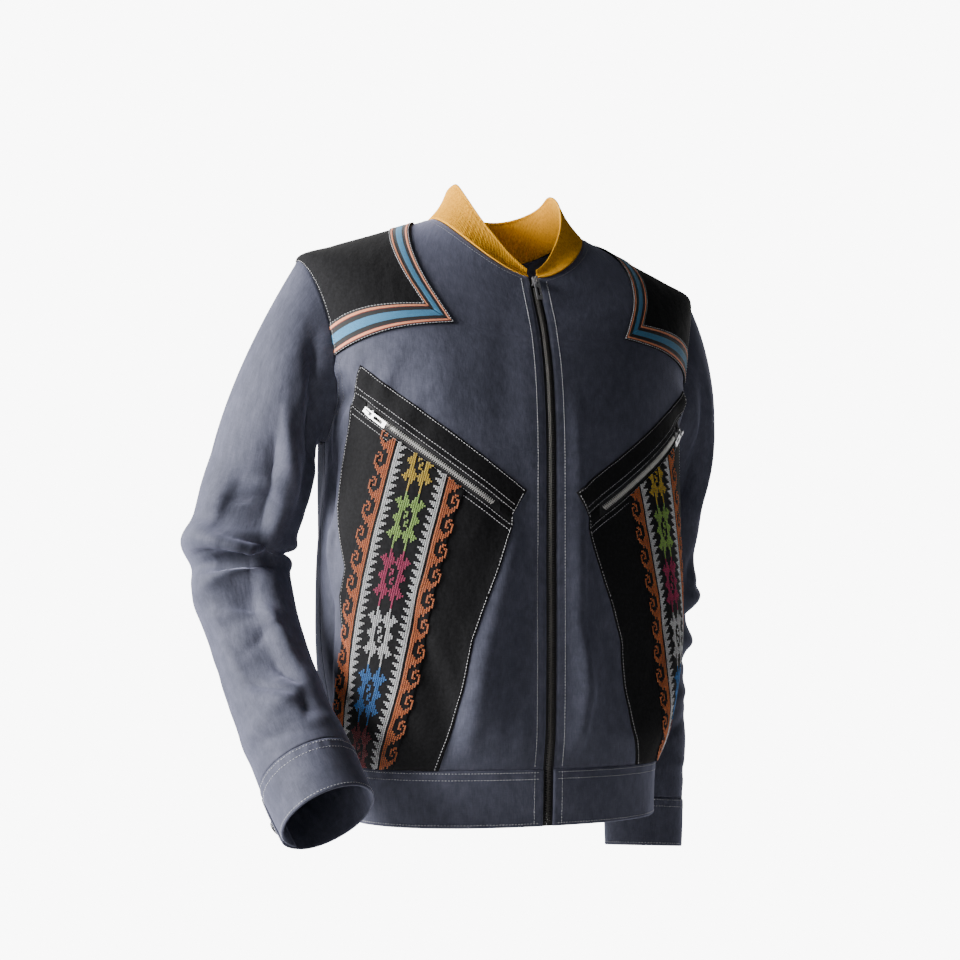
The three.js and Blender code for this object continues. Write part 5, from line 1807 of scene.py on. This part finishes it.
def quiet_rows(panel, ends=(1,)):
    """Rows in the cloth's own colour on the armhole's edge and under the collar."""
    batches = []
    levels = armhole_level(np.linspace(176, 4, 120))
    for end in ends:
        for distance in ARMHOLE_ROWS:
            rounds = panel.reach(levels) - distance if end else np.full_like(levels, distance)
            keep = np.ones(len(levels), bool)
            if len(ends) == 1:
                keep = levels < line_level(PATCH_CORNER, ARMHOLE_OUTER, rounds) - 0.02
            point, out = panel.at_level(rounds[keep], levels[keep])
            batches.append(topstitch(point, out, TWILL))
    first = 16 if len(ends) == 1 else 2
    rounds = np.linspace(first, float(panel.reach(COLLAR_ROW_LEVEL)) - 1.5, 120)
    batches.append(topstitch(*panel.at_level(rounds, np.full_like(rounds, COLLAR_ROW_LEVEL)), TWILL))
    return batches


def add_front_stitches(panel):
    """White rows beside the zip, round the black cloth and along the patch."""
    batches = []
    levels = np.linspace(0.01, 2.97, 240)
    beside = panel.at_level(np.full_like(levels, ROW_BESIDE_ZIP), levels)
    batches.append(topstitch(*beside, TWILL))
    on_black = GAP + PATCH_WALL
    tip, apex = [26 + 2.6, -302 - 0.4], [197 - 1.4, -178 - 2.8]
    inner = [[a[1] + EDGE_ROW, a[0]] for a in SIDE_ROWS[:-1]] + [[SIDE_ROWS[-1][1], ROWS_END_Z]]
    outer = [[207 - EDGE_ROW, -215.8], [219 - EDGE_ROW, -280], [224 - EDGE_ROW, -317]]
    outer += [[a[2] - EDGE_ROW, a[0]] for a in SIDE_ROWS[:-1]] + [[237, ROWS_END_Z]]
    round_black = [*inner[::-1], [40 + EDGE_ROW, -326], tip, apex, [204, -203.5], *outer]
    batches += line_on(panel, round_black, on_black)
    for down in YOKE_ROWS:
        batches += line_on(panel, [on_slot(203, down), on_slot(38, down)], on_black)
    for down in UNDER_ROWS:
        batches += line_on(panel, [on_slot(205, down), on_slot(43, down)], on_black)
    batches.append(patch_row(panel))
    return batches


def add_front(word, side):
    panel = front_panel(side)
    piece = panel_shell(f"front_{word}_cloth", panel, TWILL, front_edge=True)
    finish_piece(piece, "slate_twill", [f"front_{word}"])
    piece = layer(f"patch_{word}", panel, PATCH, GAP, PATCH_WALL, by_level=True)
    finish_piece(piece, "black_cotton", [f"shoulder_patch_{word}"])
    batches = add_ribbons(panel, word)
    piece = layer(f"pocket_yoke_cloth_{word}", panel, POCKET_YOKE, GAP, PATCH_WALL)
    finish_piece(piece, "black_cotton", [f"pocket_yoke_{word}"])
    piece = layer(f"side_panel_cloth_{word}", panel, SIDE_PANEL, GAP, PATCH_WALL)
    finish_piece(piece, "black_cotton", [f"side_panel_{word}"])
    piece = layer(f"band_{word}", panel, STITCHED_BAND, ON_PATCH, RIBBON_WALL)
    crosses = add_cross_stitch(panel, word)
    finish_piece(piece, "black_cotton", [f"stitched_band_{word}"])
    add_pocket(panel, word)
    batches += add_front_stitches(panel)
    sew(f"front_{word}_stitches", batches)
    sew(f"front_{word}_quiet_stitches", quiet_rows(panel), LOOKS["quiet_stitch"])


def add_back():
    panel = back_panel()
    piece = panel_shell("back_cloth", panel, TWILL)
    finish_piece(piece, "slate_twill", ["back"])
    shoulder = np.linspace(2.03, 2.9, 60)
    batches = [topstitch(*panel.at_level(np.full_like(shoulder, SEAM_ROW), shoulder), TWILL),
               topstitch(*panel.at_level(panel.reach(shoulder) - SEAM_ROW, shoulder), TWILL)]
    sew("back_stitches", batches + quiet_rows(panel, (0, 1)), LOOKS["quiet_stitch"])


def polish_metal():
    """The frame's own sliders and pulls stay, with soft edges and a silver look."""
    for name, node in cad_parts.items():
        if name.endswith(("_slider", "_pull")):
            node.data.materials.clear()
            node.data.materials.append(LOOKS["silver_metal"])
            bevel = node.modifiers.new("soft_edges", "BEVEL")
            bevel.width = 0.25 * MM
            bevel.segments = 2
            bevel.limit_method = "ANGLE"


# ---- the jacket -----------------------------------------------------------------------------
add_camera()
add_studio()
for word, side in SIDES.items():
    add_front(word, side)
add_back()
for word, sleeve in (("right", RIGHT_SLEEVE), ("left", LEFT_SLEEVE)):
    add_sleeve(sleeve, word)
    add_cuff(sleeve, word)
waist_start = float(zip_angle(0.0, ZIP_OPENING))
side_gap = float(seam_angle(0.0))
band_stitches = []
for word, side in SIDES.items():
    band_stitches += add_waistband(word, side * np.linspace(waist_start, 90 - side_gap, 110))
band_stitches += add_waistband("back", np.linspace(90 + side_gap, 270 - side_gap, 200))
sew("waistband_stitches", band_stitches)
add_collar()
add_front_zip()
polish_metal()
